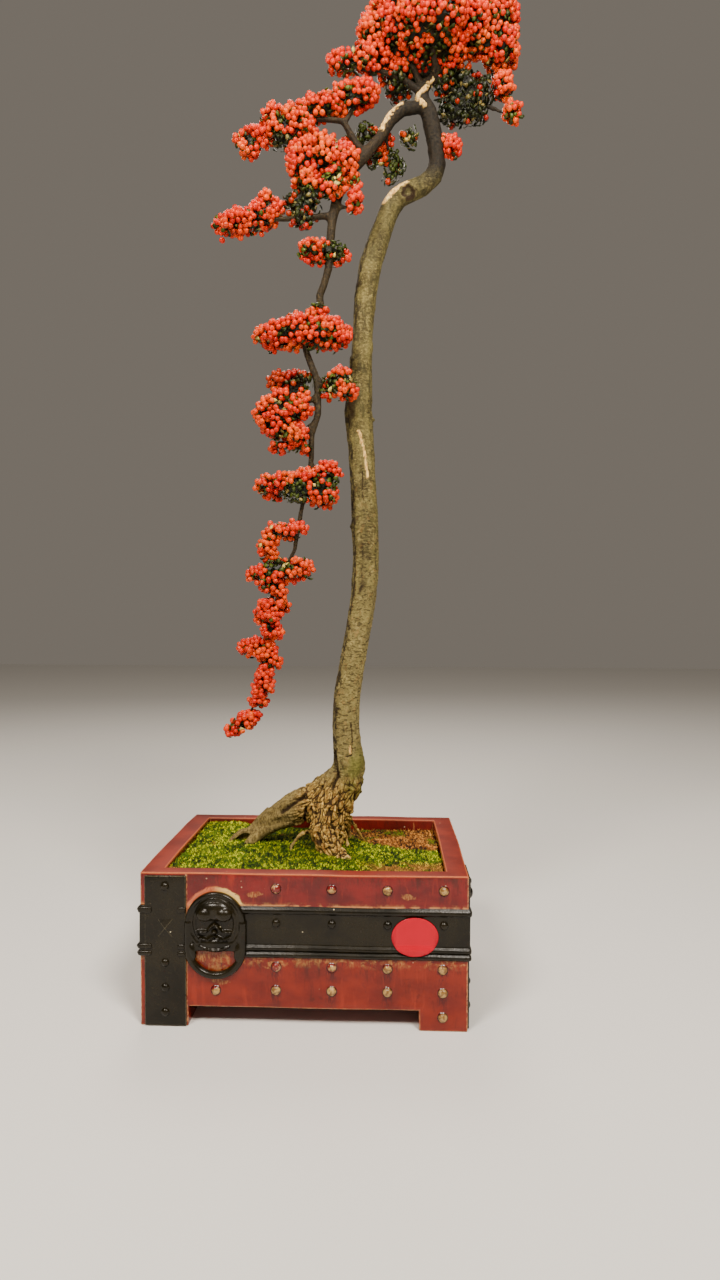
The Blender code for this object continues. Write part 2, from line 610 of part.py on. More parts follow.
def branches(grow=0.0):
    limbs = [limb("cascade", CASCADE, 1, grow)]
    limbs += [limb("twig_" + name, route, 0, grow) for name, route in TWIGS.items()]
    return limbs


def spray_sockets():
    """Cutters for the holes that wood needs in the sprays: square ones round the cascade."""
    square = [(x, y, z, (radius + WOOD_CLEARANCE) * math.sqrt(2) - WOOD_CLEARANCE)
              for x, y, z, radius in CASCADE]
    limbs = [limb("trunk", TRUNK, 2, WOOD_CLEARANCE), limb("cascade", square, 0, WOOD_CLEARANCE)]
    limbs += [limb("twig_" + name, route, 0, WOOD_CLEARANCE) for name, route in TWIGS.items()]
    return limbs


def build_wood(material):
    """Trunk, roots, cascading branch and twigs, grown as one."""
    trunk, *others = trunk_and_roots() + branches()
    wood = combine(trunk, others, "UNION")
    wood.name = "wood"
    wood.data.materials.append(material)
    return keep_one_body(wood)


# Soil and moss

def moss_height(x, y):
    """Moss piled towards the front and left walls, with soft lumps."""
    left = (1 - x / (POT_WIDTH / 2)) / 2
    front = (1 - y / (POT_DEPTH / 2)) / 2
    pile = front * (0.7 + 0.3 * left) + left / 4
    lump = noise.noise(Vector((x, y, 0)) / MOSS_LUMP_LENGTH)
    return MOSS_LOW + (MOSS_HIGH - MOSS_LOW) * min(pile, 1.0) + MOSS_LUMPS * lump


def bed(name, low, heights):
    """A slab that fills the pot's cavity from low up to a height function."""
    half_x = POT_WIDTH / 2 - SIDE_WALL - GAP
    half_y = POT_DEPTH / 2 - LONG_WALL - GAP
    bm = bmesh.new()
    bmesh.ops.create_grid(bm, x_segments=GROUND_CELLS[0], y_segments=GROUND_CELLS[1], size=1.0)
    bmesh.ops.scale(bm, vec=(half_x, half_y, 1), verts=bm.verts)
    top = bm.verts[:]
    rim = [edge for edge in bm.edges if edge.is_boundary]
    skirt = bmesh.ops.extrude_edge_only(bm, edges=rim)
    skirt_verts = [item for item in skirt["geom"] if isinstance(item, bmesh.types.BMVert)]
    for vert in top:
        vert.co.z = heights(vert.co.x, vert.co.y)
    for vert in skirt_verts:
        vert.co.z = low
    bottom = [item for item in skirt["geom"] if isinstance(item, bmesh.types.BMEdge)]
    bmesh.ops.contextual_create(bm, geom=bottom)
    bmesh.ops.recalc_face_normals(bm, faces=bm.faces)
    return mesh_object(name, bm)


def dry_patch(grow):
    """Plan of the dry brown moss behind and right of the tree, as an upright prism."""
    far_x, far_y = POT_WIDTH / 2, POT_DEPTH / 2
    curve = bpy.data.curves.new("patch", "CURVE")
    curve.dimensions = "2D"
    curve.fill_mode = "BOTH"
    curve.extrude = MOSS_HIGH - SOIL_TOP
    spline = curve.splines.new("POLY")
    corners = [(x * MM - grow, y * MM - grow) for x, y in DRY_EDGE] + [(far_x, far_y)]
    spline.points.add(len(corners) - 1)
    for point, (x, y) in zip(spline.points, corners):
        point.co = (x, y, 0, 1)
    spline.use_cyclic_u = True
    obj = bpy.data.objects.new("patch", curve)
    bpy.context.scene.collection.objects.link(obj)
    prism = curve_to_mesh(obj)
    prism.data.transform(Matrix.Translation((0, 0, MOSS_LOW)))
    return prism


def build_ground(soil_material, green_material, dry_material):
    """Soil fill and the two moss covers, each with plain holes where roots go in."""
    floor = FOOT_HEIGHT + FLOOR_THICKNESS + GAP
    soil = bed("soil", floor, lambda x, y: SOIL_TOP)
    hollows = []
    for side in (-1, 1):
        middle = side * DRAIN_SPACING / 2
        half = SCREEN_SIZE / 2 + GAP
        hollows.append(block("hollow", (middle - half, -half, floor - SCREEN_THICKNESS),
                             (middle + half, half, floor + SCREEN_THICKNESS + GAP)))
    combine(soil, hollows + trunk_and_roots(WOOD_CLEARANCE), "DIFFERENCE")
    green = bed("moss_green", SOIL_TOP + GAP, moss_height)
    combine(green, [dry_patch(GAP)], "DIFFERENCE")
    combine(green, trunk_and_roots(WOOD_CLEARANCE), "DIFFERENCE")
    dry = bed("moss_dry", SOIL_TOP + GAP, moss_height)
    combine(dry, [dry_patch(0)], "INTERSECT")
    combine(dry, trunk_and_roots(WOOD_CLEARANCE), "DIFFERENCE")
    soil.data.materials.append(soil_material)
    green.data.materials.append(green_material)
    dry.data.materials.append(dry_material)
    return [keep_one_body(soil), keep_one_body(green), keep_one_body(dry)]


# Sprays of leaves and berries

def seat_plane(mounds):
    """Sloping plane on which a spray's berries sit above its leaves."""
    first, last = mounds[0], mounds[-1]
    run = Vector((last[0] - first[0], last[1] - first[1]))
    slope = math.atan2(last[2] - first[2], run.length) if run.length > 1 else 0.0
    slope = max(-STEEPEST_SEAT, min(STEEPEST_SEAT, slope))
    along = run.normalized() if run.length > 1 else Vector((1, 0))
    normal = Vector((-along.x * math.sin(slope), -along.y * math.sin(slope), math.cos(slope)))
    seats = [Vector(mound[:3]) - Vector((0, 0, SEAT_DEPTH * mound[5])) for mound in mounds]
    lowest = min(seats, key=lambda seat: seat.dot(normal))
    return lowest * MM, normal


def half_space(point, normal, above):
    """A big block on one side of a plane, used to cut a spray's core in two."""
    size = POT_WIDTH
    low_z, high_z = (-GAP / 2, size) if above else (-size, GAP / 2)
    cutter = block("half_space", (-size, -size, low_z), (size, size, high_z))
    turn = Vector((0, 0, 1)).rotation_difference(normal).to_matrix().to_4x4()
    cutter.data.transform(Matrix.Translation(point) @ turn)
    return cutter


def nearby(solids, low, high):
    """Keeps the solids whose boxes meet a region and removes the others."""
    kept = []
    for obj in solids:
        corners = [Vector(corner) for corner in obj.bound_box]
        smallest = [min(corner[i] for corner in corners) for i in range(3)]
        largest = [max(corner[i] for corner in corners) for i in range(3)]
        if all(smallest[i] < high[i] and largest[i] > low[i] for i in range(3)):
            kept.append(obj)
        else:
            bpy.data.objects.remove(obj, do_unlink=True)
    return kept


def region(mounds, margin):
    low = [min(mound[i] - mound[i + 3] for mound in mounds) * MM - margin for i in range(3)]
    high = [max(mound[i] + mound[i + 3] for mound in mounds) * MM + margin for i in range(3)]
    return low, high


def wrap(mounds):
    """One convex core a little inside several mounds, which berries and leaves stand out of."""
    bm = bmesh.new()
    for mound in mounds:
        radii = [radius * MM - CORE_INSET for radius in mound[3:]]
        part = bmesh.ops.create_icosphere(bm, subdivisions=1, radius=1.0)
        bmesh.ops.scale(bm, vec=radii, verts=part["verts"])
        bmesh.ops.translate(bm, vec=Vector(mound[:3]) * MM, verts=part["verts"])
    hull = bmesh.ops.convex_hull(bm, input=bm.verts)
    outside = set(hull["geom"])
    bmesh.ops.delete(bm, geom=[face for face in bm.faces if face not in outside], context="FACES")
    bmesh.ops.delete(bm, geom=[vert for vert in bm.verts if not vert.link_faces], context="VERTS")
    bmesh.ops.recalc_face_normals(bm, faces=bm.faces)
    return mesh_object("core", bm)


def cut_to_side(body, mounds, plane, above):
    """Cuts a spray's mass to one side of the seat and makes sockets for the wood in it."""
    combine(body, [half_space(*plane, above=not above)], "DIFFERENCE")
    sockets = nearby(spray_sockets(), *region(mounds, WOOD_CLEARANCE * MM))
    if sockets:
        combine(body, sockets, "DIFFERENCE")
    return keep_one_body(body)


def leaf_core(name, berry_mounds, leaf_mounds, plane):
    """The plain mass below the seat that the blades grow out of."""
    body = wrap(berry_mounds)
    body.name = name
    if leaf_mounds:
        closest = min(berry_mounds, key=lambda mound: (Vector(mound[:3]) - Vector(leaf_mounds[0][:3])).length)
        combine(body, [wrap([closest] + leaf_mounds)], "UNION")
    return cut_to_side(body, berry_mounds + leaf_mounds, plane, False)


def berry_skin(name, mounds):
    """Rounded mounds joined in one even skin of squares, each as wide as half a berry's pitch."""
    hull = wrap(mounds)
    bm = bmesh.new()
    bm.from_mesh(hull.data)
    bpy.data.objects.remove(hull, do_unlink=True)
    for mound in mounds:
        part = bmesh.ops.create_icosphere(bm, subdivisions=2, radius=1.0)
        bmesh.ops.scale(bm, vec=[radius * MM - BERRY_RELIEF for radius in mound[3:]], verts=part["verts"])
        bmesh.ops.translate(bm, vec=Vector(mound[:3]) * MM, verts=part["verts"])
    skin = mesh_object(name, bm)
    modifier = skin.modifiers.new("skin", "REMESH")
    modifier.mode = "VOXEL"
    modifier.voxel_size = BERRY_PITCH / math.sqrt(2)
    depsgraph = bpy.context.evaluated_depsgraph_get()
    mesh = bpy.data.meshes.new_from_object(skin.evaluated_get(depsgraph))
    skin.modifiers.clear()
    take_mesh(skin, mesh)
    return skin


def raise_berries(skin):
    """Raises every other corner of the skin into a berry, so that berries cover it all over."""
    bm = bmesh.new()
    bm.from_mesh(skin.data)
    raised = set()
    seen = set()
    queue = [min(bm.verts, key=lambda vert: vert.co.to_tuple())]
    while queue:
        vert = queue.pop(0)
        if vert in seen:
            continue
        seen.add(vert)
        around = [edge.other_vert(vert) for edge in vert.link_edges]
        middle = sum((other.co for other in around), Vector()) / len(around)
        crease = (middle - vert.co).dot(vert.normal) > DEEPEST_CREASE
        if not crease and not any(other in raised for other in around):
            raised.add(vert)
        queue += [other for other in around if other not in seen]
    for face in list(bm.faces):
        low = [vert for vert in face.verts if vert not in raised]
        if len(face.verts) == 4 and len(low) < 4:
            high = next(vert for vert in face.verts if vert in raised)
            place = list(face.verts).index(high)
            bmesh.utils.face_split(face, face.verts[place - 1], face.verts[(place + 1) % 4])
    tips = {vert: vert.co + vert.normal * BERRY_RELIEF for vert in raised}
    for vert, tip in tips.items():
        vert.co = tip
    bm.to_mesh(skin.data)
    bm.free()
    return len(raised)


def berry_mass(name, mounds, plane):
    body = berry_skin(name, mounds)
    count = raise_berries(body)
    print(name, "berries", count)
    return cut_to_side(body, mounds, plane, True)


def fibonacci_directions(count, turn):
    """Evenly spread unit vectors, turned round the vertical by an angle."""
    golden = math.pi * (3 - math.sqrt(5))
    for index in range(count):
        z = 1 - 2 * (index + 0.5) / count
        ring = math.sqrt(1 - z * z)
        yield Vector((ring * math.cos(golden * index + turn), ring * math.sin(golden * index + turn), z))


def spots(mounds, body, spacing):
    """Even spots on a core: the place on its surface and the way out."""
    tree = BVHTree.FromPolygons([vert.co for vert in body.data.vertices],
                                [polygon.vertices[:] for polygon in body.data.polygons])
    found = []
    for mound in mounds:
        centre = Vector(mound[:3]) * MM
        radii = Vector(mound[3:]) * MM
        area = 4 * math.pi * ((radii.x * radii.y + radii.y * radii.z + radii.z * radii.x) / 3)
        count = int(TRIES * area / spacing ** 2)
        for direction in fibonacci_directions(count, rng.uniform(0, math.tau)):
            outer = centre + Vector(direction[i] * (radii[i] + LEAF_LENGTH) for i in range(3))
            inward = (centre - outer).normalized()
            hit = tree.ray_cast(outer, inward, (centre - outer).length)[0]
            if hit is not None:
                found.append((hit, -inward))
    rng.shuffle(found)
    kept = []
    for hit, out in found:
        if all((hit - other).length > spacing for other, _ in kept):
            kept.append((hit, out))
    return kept


def leaf_mesh():
    """One small pointed oval blade along +X, its root at the origin, in +Z thickness."""
    bm = bmesh.new()
    bmesh.ops.create_circle(bm, cap_ends=True, segments=len(LEAF_OUTLINE), radius=1.0)
    for vert, (along, across) in zip(bm.verts, LEAF_OUTLINE):
        vert.co = (along * LEAF_LENGTH, across * LEAF_WIDTH / 2, -LEAF_THICKNESS / 2)
    blade = bmesh.ops.extrude_face_region(bm, geom=bm.faces[:])
    lifted = [item for item in blade["geom"] if isinstance(item, bmesh.types.BMVert)]
    bmesh.ops.translate(bm, vec=(0, 0, LEAF_THICKNESS), verts=lifted)
    bmesh.ops.recalc_face_normals(bm, faces=bm.faces)
    mesh = bpy.data.meshes.new("leaf")
    bm.to_mesh(mesh)
    bm.free()
    return mesh


def crosses(tree, others):
    return any(tree.overlap(other) for other in others)


def tree_of(mesh, place=None, swell=1.0):
    """A search tree of a mesh, moved to its place and a little swollen for clearance."""
    middle = sum((vert.co for vert in mesh.vertices), Vector()) / len(mesh.vertices)
    place = place or Matrix.Identity(4)
    corners = [place @ (middle + (vert.co - middle) * swell) for vert in mesh.vertices]
    return BVHTree.FromPolygons(corners, [polygon.vertices[:] for polygon in mesh.polygons])


def add_leaves(body, mounds, plane, others, blade):
    """Blades all over the outside of a leaf core, clear of the seat and of neighbours."""
    point, normal = plane
    leaves = []
    for hit, out in spots(mounds, body, LEAF_SPACING):
        if (hit - point).dot(normal) > -LEAF_THICKNESS:
            continue
        sway = Vector((rng.uniform(-LEAF_SWAY, LEAF_SWAY), rng.uniform(-LEAF_SWAY, LEAF_SWAY),
                       rng.uniform(*LEAF_DROOP)))
        along = (out + sway).normalized()
        across = along.cross(Vector((0, 0, 1))).normalized()
        up = across.cross(along)
        turn = Matrix((along, -across, up)).transposed().to_4x4()
        place = Matrix.Translation(hit - along * LEAF_SUNK) @ turn
        if max((place @ vert.co - point).dot(normal) for vert in blade.vertices) > -GAP:
            continue
        if crosses(tree_of(blade, place, LEAF_CLEARANCE), others):
            continue
        leaf = bpy.data.objects.new("blade", blade.copy())
        leaf.data.transform(place)
        bpy.context.scene.collection.objects.link(leaf)
        leaves.append(leaf)
    if leaves:
        combine(body, leaves, "UNION")
    return keep_one_body(body)


def build_sprays(wood, pot, leaf_material, berry_material):
    """Every spray as two solids: leaves below, and berries seated on them above."""
    masses = []
    for name, (berry_mounds, leaf_mounds) in SPRAYS.items():
        plane = seat_plane(berry_mounds)
        leaves = leaf_core("leaves_" + name, berry_mounds, leaf_mounds, plane)
        berries = berry_mass("berries_" + name, berry_mounds, plane)
        leaves.data.materials.append(leaf_material)
        berries.data.materials.append(berry_material)
        masses.append((leaves, berries, berry_mounds + leaf_mounds, plane))
    blade = leaf_mesh()
    fixed = [tree_of(wood.data), tree_of(pot.data)] + [tree_of(berries.data) for _, berries, _, _ in masses]
    nodes = []
    for leaves, berries, mounds, plane in masses:
        others = [tree_of(other.data) for other, _, _, _ in masses if other is not leaves]
        nodes += [add_leaves(leaves, mounds, plane, fixed + others, blade), berries]
    bpy.data.meshes.remove(blade)
    return nodes


def stand_on_origin(nodes):
    """Moves every node so that the origin is under the middle of the whole piece."""
    corners = [vert.co for node in nodes for vert in node.data.vertices]
    low = Vector(min(corner[i] for corner in corners) for i in range(3))
    high = Vector(max(corner[i] for corner in corners) for i in range(3))
    shift = Vector((-(low.x + high.x) / 2, -(low.y + high.y) / 2, -low.z))
    for node in nodes:
        node.data.transform(Matrix.Translation(shift))
    print("shift mm", [round(value / MM, 2) for value in shift])
    print("size mm", [round(value / MM, 1) for value in high - low])


def main():
    clear_scene()
    glazes = [make_material("red_glaze", (0.30, 0.045, 0.035), 0.25),
              make_material("black_glaze", (0.03, 0.028, 0.022), 0.3)]
    bark = make_material("bark", (0.27, 0.21, 0.11), 0.85)
    soil_material = make_material("soil", (0.09, 0.06, 0.035), 0.95)
    green_moss = make_material("green_moss", (0.16, 0.27, 0.03), 0.95)
    dry_moss = make_material("dry_moss", (0.25, 0.14, 0.06), 0.95)
    plastic = make_material("screen_plastic", (0.05, 0.05, 0.05), 0.6)
    sticker = make_material("sticker", (0.75, 0.02, 0.04), 0.3)
    foliage = make_material("foliage", (0.04, 0.09, 0.02), 0.55)
    fruit = make_material("fruit", (0.75, 0.06, 0.02), 0.35)
    pot = build_pot(glazes)
    wood = build_wood(bark)
    nodes = [pot, wood, build_label(sticker)]
    nodes.append(build_screen("screen_left", -DRAIN_SPACING / 2, plastic))
    nodes.append(build_screen("screen_right", DRAIN_SPACING / 2, plastic))
    nodes += build_ground(soil_material, green_moss, dry_moss)
    nodes += build_sprays(wood, pot, foliage, fruit)
    bonsai = bpy.data.collections.new("cotoneaster_bonsai")
    bpy.context.scene.collection.children.link(bonsai)
    for node in nodes:
        bpy.context.scene.collection.objects.unlink(node)
        bonsai.objects.link(node)
    stand_on_origin(nodes)
    total = sum(len(node.data.polygons) for node in nodes)
    print("nodes", len(nodes), "triangles", total)


main()
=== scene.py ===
# %% [markdown]
# A cotoneaster bonsai in the literati style, in a chest-shaped pot. The CAD model already
# has every piece at its real size, so this file gives the looks: glaze, bark, moss, leaves
# and berries. It is written as a lesson, one piece at a time, and each cell prints what it made.
# Lengths are in metres, +Z is up and the front of the pot faces -Y.

# %% Load the frame
import math
import random

import bpy
import numpy as np
from mathutils import Matrix, Vector, noise
from mathutils.bvhtree import BVHTree


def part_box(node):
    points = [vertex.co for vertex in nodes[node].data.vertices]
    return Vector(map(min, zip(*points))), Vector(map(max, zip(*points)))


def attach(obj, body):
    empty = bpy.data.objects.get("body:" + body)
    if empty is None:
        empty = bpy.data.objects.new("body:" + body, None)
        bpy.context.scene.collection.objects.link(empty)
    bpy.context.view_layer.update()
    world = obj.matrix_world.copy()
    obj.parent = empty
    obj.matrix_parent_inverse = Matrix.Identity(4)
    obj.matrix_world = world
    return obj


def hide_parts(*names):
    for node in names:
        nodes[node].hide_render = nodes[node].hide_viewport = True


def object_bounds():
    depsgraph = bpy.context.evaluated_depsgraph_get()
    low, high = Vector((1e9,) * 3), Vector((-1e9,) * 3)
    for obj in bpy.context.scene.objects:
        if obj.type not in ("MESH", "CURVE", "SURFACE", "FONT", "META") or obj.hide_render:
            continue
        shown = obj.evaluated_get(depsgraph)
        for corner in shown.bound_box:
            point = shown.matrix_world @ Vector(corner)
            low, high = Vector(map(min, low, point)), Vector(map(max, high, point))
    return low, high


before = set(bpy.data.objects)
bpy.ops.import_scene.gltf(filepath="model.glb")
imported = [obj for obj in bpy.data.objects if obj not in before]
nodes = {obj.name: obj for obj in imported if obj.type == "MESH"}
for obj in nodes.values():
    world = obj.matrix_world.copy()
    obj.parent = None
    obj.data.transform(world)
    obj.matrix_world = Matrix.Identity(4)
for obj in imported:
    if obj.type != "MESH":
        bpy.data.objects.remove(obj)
cad_low, cad_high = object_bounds()
print("loaded", len(nodes), "nodes, from", tuple(cad_low), "to", tuple(cad_high))

# %% [markdown]
# Sizes are easiest to read in millimetres, measured from the point under the middle of the
# pot, because the tree was measured from there. The helper turns them into metres in the frame.

# %% Units and the pot's place
MM = 0.001
POT_HEIGHT = 161.5 * MM
pot_low, pot_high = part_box("pot")
pot_x = (pot_low.x + pot_high.x) / 2


def spot(x, y, z):
    """A place given in millimetres from the point under the pot's middle."""
    return Vector((pot_x + x * MM, y * MM, z * MM))


print("the pot stands at x =", round(pot_x, 5))

# %% [markdown]
# The camera comes first, because every later choice is judged through it. Its place and angles
# were worked out from the corners of the pot in the photo: it stands a little to the right of
# the middle, 0.42 m above the table, and looks almost level. A wide lens that close makes the
# crown, which is over a metre up, lean out at the top of the picture.

# %% Camera
CAMERA_PLACE = (82.8, -879.96, 423.35)
CAMERA_YAW = math.radians(-1.905)
CAMERA_PITCH = math.radians(1.499)
CAMERA_ROLL = math.radians(0.25)
SENSOR = 36.0
FOCAL_SHARE = 750 / 1280
NEAREST_SEEN = 0.02

camera_data = bpy.data.cameras.new("camera")
camera_data.sensor_width = SENSOR
camera_data.lens = SENSOR * FOCAL_SHARE
camera_data.clip_start = NEAREST_SEEN
camera = bpy.data.objects.new("camera", camera_data)
bpy.context.scene.collection.objects.link(camera)
upright = Matrix.Rotation(-CAMERA_YAW, 3, "Z") @ Matrix.Rotation(math.pi / 2 - CAMERA_PITCH, 3, "X")
camera.rotation_euler = (upright @ Matrix.Rotation(CAMERA_ROLL, 3, "Z")).to_euler()
camera.location = spot(*CAMERA_PLACE)
bpy.context.scene.camera = camera
print("camera with a lens of", round(camera_data.lens, 2), "mm")

# %% [markdown]
# A few small habits save trouble with operators. They act on whatever is selected, and the frame
# comes in selected, so one helper selects a single object first, and another adds a primitive
# and hands it back. A third one adds a modifier and applies it at once, so that the mesh is
# finished when the next step reads it.


# %% Helpers for operators
def only(obj):
    """Make one object the selected and active one."""
    bpy.ops.object.select_all(action="DESELECT")
    obj.select_set(True)
    bpy.context.view_layer.objects.active = obj


def added(operator, **settings):
    """Add a primitive with nothing else selected, and hand it back."""
    bpy.ops.object.select_all(action="DESELECT")
    operator(**settings)
    return bpy.context.object


def apply(obj, kind, **settings):
    """Add a modifier, set it up and apply it."""
    only(obj)
    modifier = obj.modifiers.new(kind.lower(), kind)
    for name, value in settings.items():
        setattr(modifier, name, value)
    bpy.ops.object.modifier_apply(modifier=modifier.name)


def settle(obj):
    """Put an object's place, turn and scale into its mesh."""
    only(obj)
    bpy.ops.object.transform_apply(location=True, rotation=True, scale=True)


def block(name, low, high):
    """A box between two corners, given as a primitive at its size and place."""
    middle = [(a + b) / 2 for a, b in zip(low, high)]
    size = [b - a for a, b in zip(low, high)]
    obj = added(bpy.ops.mesh.primitive_cube_add, size=1, location=middle, scale=size)
    obj.name = name
    settle(obj)
    return obj


def edit_faces(obj, rule):
    """Open a mesh in edit mode with only the faces selected whose centre and normal fit a rule."""
    only(obj)
    bpy.ops.object.mode_set(mode="EDIT")
    bpy.ops.mesh.select_mode(type="FACE")
    bpy.ops.mesh.select_all(action="DESELECT")
    bpy.ops.object.mode_set(mode="OBJECT")
    for polygon in obj.data.polygons:
        polygon.select = rule(polygon.center, polygon.normal)
    bpy.ops.object.mode_set(mode="EDIT")


def join(pieces, name):
    """Join several objects into the first of them."""
    bpy.ops.object.select_all(action="DESELECT")
    for piece in pieces:
        piece.select_set(True)
    bpy.context.view_layer.objects.active = pieces[0]
    if len(pieces) > 1:
        bpy.ops.object.join()
    joined = bpy.context.object
    joined.name = name
    return joined


def copy_of(node_name, name):
    """A copy of a CAD node with its loose triangles merged into one skin."""
    obj = bpy.data.objects.new(name, nodes[node_name].data.copy())
    bpy.context.scene.collection.objects.link(obj)
    obj.data.materials.clear()
    only(obj)
    bpy.ops.object.mode_set(mode="EDIT")
    bpy.ops.mesh.select_all(action="SELECT")
    bpy.ops.mesh.remove_doubles(threshold=0.01 * MM)
    bpy.ops.object.mode_set(mode="OBJECT")
    return obj


def keep_piece(obj, replaced, material=None):
    """Give a finished piece its finish, hang it on the root body, hide the CAD nodes it stands for, and
    print its triangles.
    """
    if material is not None:
        obj.data.materials.clear()
        obj.data.materials.append(material)
    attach(obj, "root")
    if replaced:
        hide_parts(*replaced)
    count = sum(len(polygon.vertices) - 2 for polygon in obj.data.polygons)
    print(obj.name, "has", count, "triangles")
    return obj


print("helpers ready")

# %% [markdown]
# Materials are sums of many small patterns, and a tangle of Math nodes is hard to read. So one
# class stands for a socket and lets ordinary Python arithmetic add the nodes, and another
# builds a material around one glossy shader. Colours are written as the eye sees them, 0 to 255.


# %% Shader arithmetic
class Value:
    """A socket of a material, with arithmetic that adds Math nodes."""

    def __init__(self, finish, socket):
        self.finish = finish
        self.socket = socket

    def math(self, operation, *others):
        inputs = dict(enumerate((self, *others)))
        return self.finish.node("Math", {"operation": operation}, inputs)

    def __add__(self, other):
        return self.math("ADD", other)

    def __sub__(self, other):
        return self.math("SUBTRACT", other)

    def __rsub__(self, other):
        return self.math("MULTIPLY_ADD", -1, other)

    def __mul__(self, other):
        return self.math("MULTIPLY", other)

    def __truediv__(self, other):
        return self.math("DIVIDE", other)

    __radd__ = __add__
    __rmul__ = __mul__

    def size(self):
        return self.math("ABSOLUTE")

    def whole(self):
        return self.math("ROUND")

    def least(self, other):
        return self.math("MINIMUM", other)

    def most(self, other):
        return self.math("MAXIMUM", other)

    def span(self, other):
        """Length of the slope of a triangle with these two sides."""
        return (self * self + other * other).math("SQRT")

    def between(self, low, high):
        """0 below low, 1 above high and smooth in between; low may be above high."""
        inputs = {"Value": self, "From Min": low, "From Max": high}
        return self.finish.node("MapRange", {"interpolation_type": "SMOOTHSTEP"}, inputs)


def ink(red, green, blue):
    """A colour as the eye sees it, 0 to 255, turned into light."""
    shares = (red / 255, green / 255, blue / 255)
    light = [s / 12.92 if s <= 0.04045 else ((s + 0.055) / 1.055) ** 2.4 for s in shares]
    return (*light, 1.0)


class Finish:
    """A material with one Principled shader and short calls for its patterns."""

    def __init__(self, name, **constants):
        self.material = bpy.data.materials.new(name)
        self.material.use_nodes = True
        self.tree = self.material.node_tree
        self.shader = self.tree.nodes["Principled BSDF"]
        for socket, value in constants.items():
            self.shader.inputs[socket.replace("_", " ")].default_value = value
        self.place = self.node("TexCoord", {}, {}, "Object")

    def node(self, kind, settings, inputs, output=0):
        """One node: its settings first, then its sockets, then the output to use."""
        node = self.tree.nodes.new("ShaderNode" + kind)
        for name, value in settings.items():
            setattr(node, name, value)
        for name, value in inputs.items():
            self.feed(node.inputs[name], value)
        return Value(self, node.outputs[output])

    def feed(self, socket, value):
        if isinstance(value, Value):
            self.tree.links.new(value.socket, socket)
        else:
            socket.default_value = value

    def wear(self, **links):
        """Feed the shader's own sockets, such as Base_Color and Roughness."""
        for name, value in links.items():
            self.feed(self.shader.inputs[name.replace("_", " ")], value)

    def mix(self, share, first, second, blend="MIX"):
        settings = {"data_type": "RGBA", "blend_type": blend, "clamp_factor": True}
        return self.node("Mix", settings, {0: share, 6: first, 7: second}, 2)

    def stretched(self, x, y, z):
        """The piece's own coordinates, measured in patterns of x, y and z millimetres."""
        scale = (1 / (x * MM), 1 / (y * MM), 1 / (z * MM))
        return self.node("Mapping", {}, {"Vector": self.place, "Scale": scale})

    def noise(self, x, y, z, detail=3.0, rough=0.55, twist=0.0):
        """Cloudy pattern, mostly between 0.3 and 0.7, with lumps of the given size."""
        inputs = {"Vector": self.stretched(x, y, z), "Scale": 1.0, "Detail": detail,
                  "Roughness": rough, "Distortion": twist}
        return self.node("TexNoise", {}, inputs, 0)

    def cells(self, x, y, z, feature="F1", jitter=1.0):
        """Distance to the nearest point of a scatter of points."""
        inputs = {"Vector": self.stretched(x, y, z), "Scale": 1.0, "Randomness": jitter}
        return self.node("TexVoronoi", {"feature": feature}, inputs, "Distance")

    def mark(self, name):
        """A number that the mesh carries at each corner."""
        return self.node("Attribute", {"attribute_name": name}, {}, "Fac")

    def axes(self, vector=None):
        """The three parts of a vector, or of the piece's own coordinates."""
        split = self.node("SeparateXYZ", {}, {0: vector or self.place})
        return [Value(self, output) for output in split.socket.node.outputs]

    def bump(self, height, millimetres, strength=1.0):
        """Relief that is too fine for the mesh, from a pattern between 0 and 1."""
        inputs = {"Height": height, "Distance": millimetres * MM, "Strength": strength}
        self.wear(Normal=self.node("Bump", {}, inputs, "Normal"))


print("shader arithmetic ready")

# %% [markdown]
# The tree stands in a plain photo studio: a pale floor, a large soft lamp high at the front
# right, a weaker one at the left, one behind that draws a line of light along the wood, and a
# pale sky that fills the shadows. A fourth lamp, narrowed to a cone, reaches up under the crown,
# which would otherwise shade its own front. Large lamps give the long soft highlights that show
# off glaze and berries.

# %% Floor and lights
FLOOR_HALF = 6.0
# Places in millimetres; size of the disk in metres, power in watts, spread in degrees
LAMPS = {
    "key": {"place": (850, -1450, 2150), "aim": (40, 0, 550), "size": 0.7, "power": 82},
    "fill": {"place": (-850, -1450, 2050), "aim": (0, 0, 500), "size": 0.7, "power": 56},
    "back": {"place": (-300, 1500, 2200), "aim": (60, 0, 900), "size": 1.2, "power": 26},
    "crown": {"place": (60, -1500, 700), "aim": (110, 0, 1100), "size": 0.5, "power": 1.9,
              "spread": 44},
}
OPEN_SPREAD = 180
WARM = (1.0, 0.91, 0.8)
SKY = (214, 202, 186)
SKY_STRENGTH = 0.27

floor = added(bpy.ops.mesh.primitive_plane_add, size=2 * FLOOR_HALF, location=(0, 0, 0))
floor.name = "studio_floor"
paper = Finish("studio_paper", Base_Color=ink(226, 224, 220), Roughness=0.8)
floor.data.materials.append(paper.material)

for lamp_name, lamp in LAMPS.items():
    data = bpy.data.lights.new(lamp_name, "AREA")
    data.shape = "DISK"
    data.size = lamp["size"]
    data.energy = lamp["power"]
    data.color = WARM
    data.spread = math.radians(lamp.get("spread", OPEN_SPREAD))
    light = bpy.data.objects.new(lamp_name, data)
    bpy.context.scene.collection.objects.link(light)
    light.location = spot(*lamp["place"])
    towards = spot(*lamp["aim"]) - light.location
    light.rotation_euler = towards.to_track_quat("-Z", "Y").to_euler()

world = bpy.data.worlds.new("studio")
world.use_nodes = True
world.node_tree.nodes["Background"].inputs["Color"].default_value = ink(*SKY)
world.node_tree.nodes["Background"].inputs["Strength"].default_value = SKY_STRENGTH
bpy.context.scene.world = world
print("floor and", len(LAMPS), "lamps")

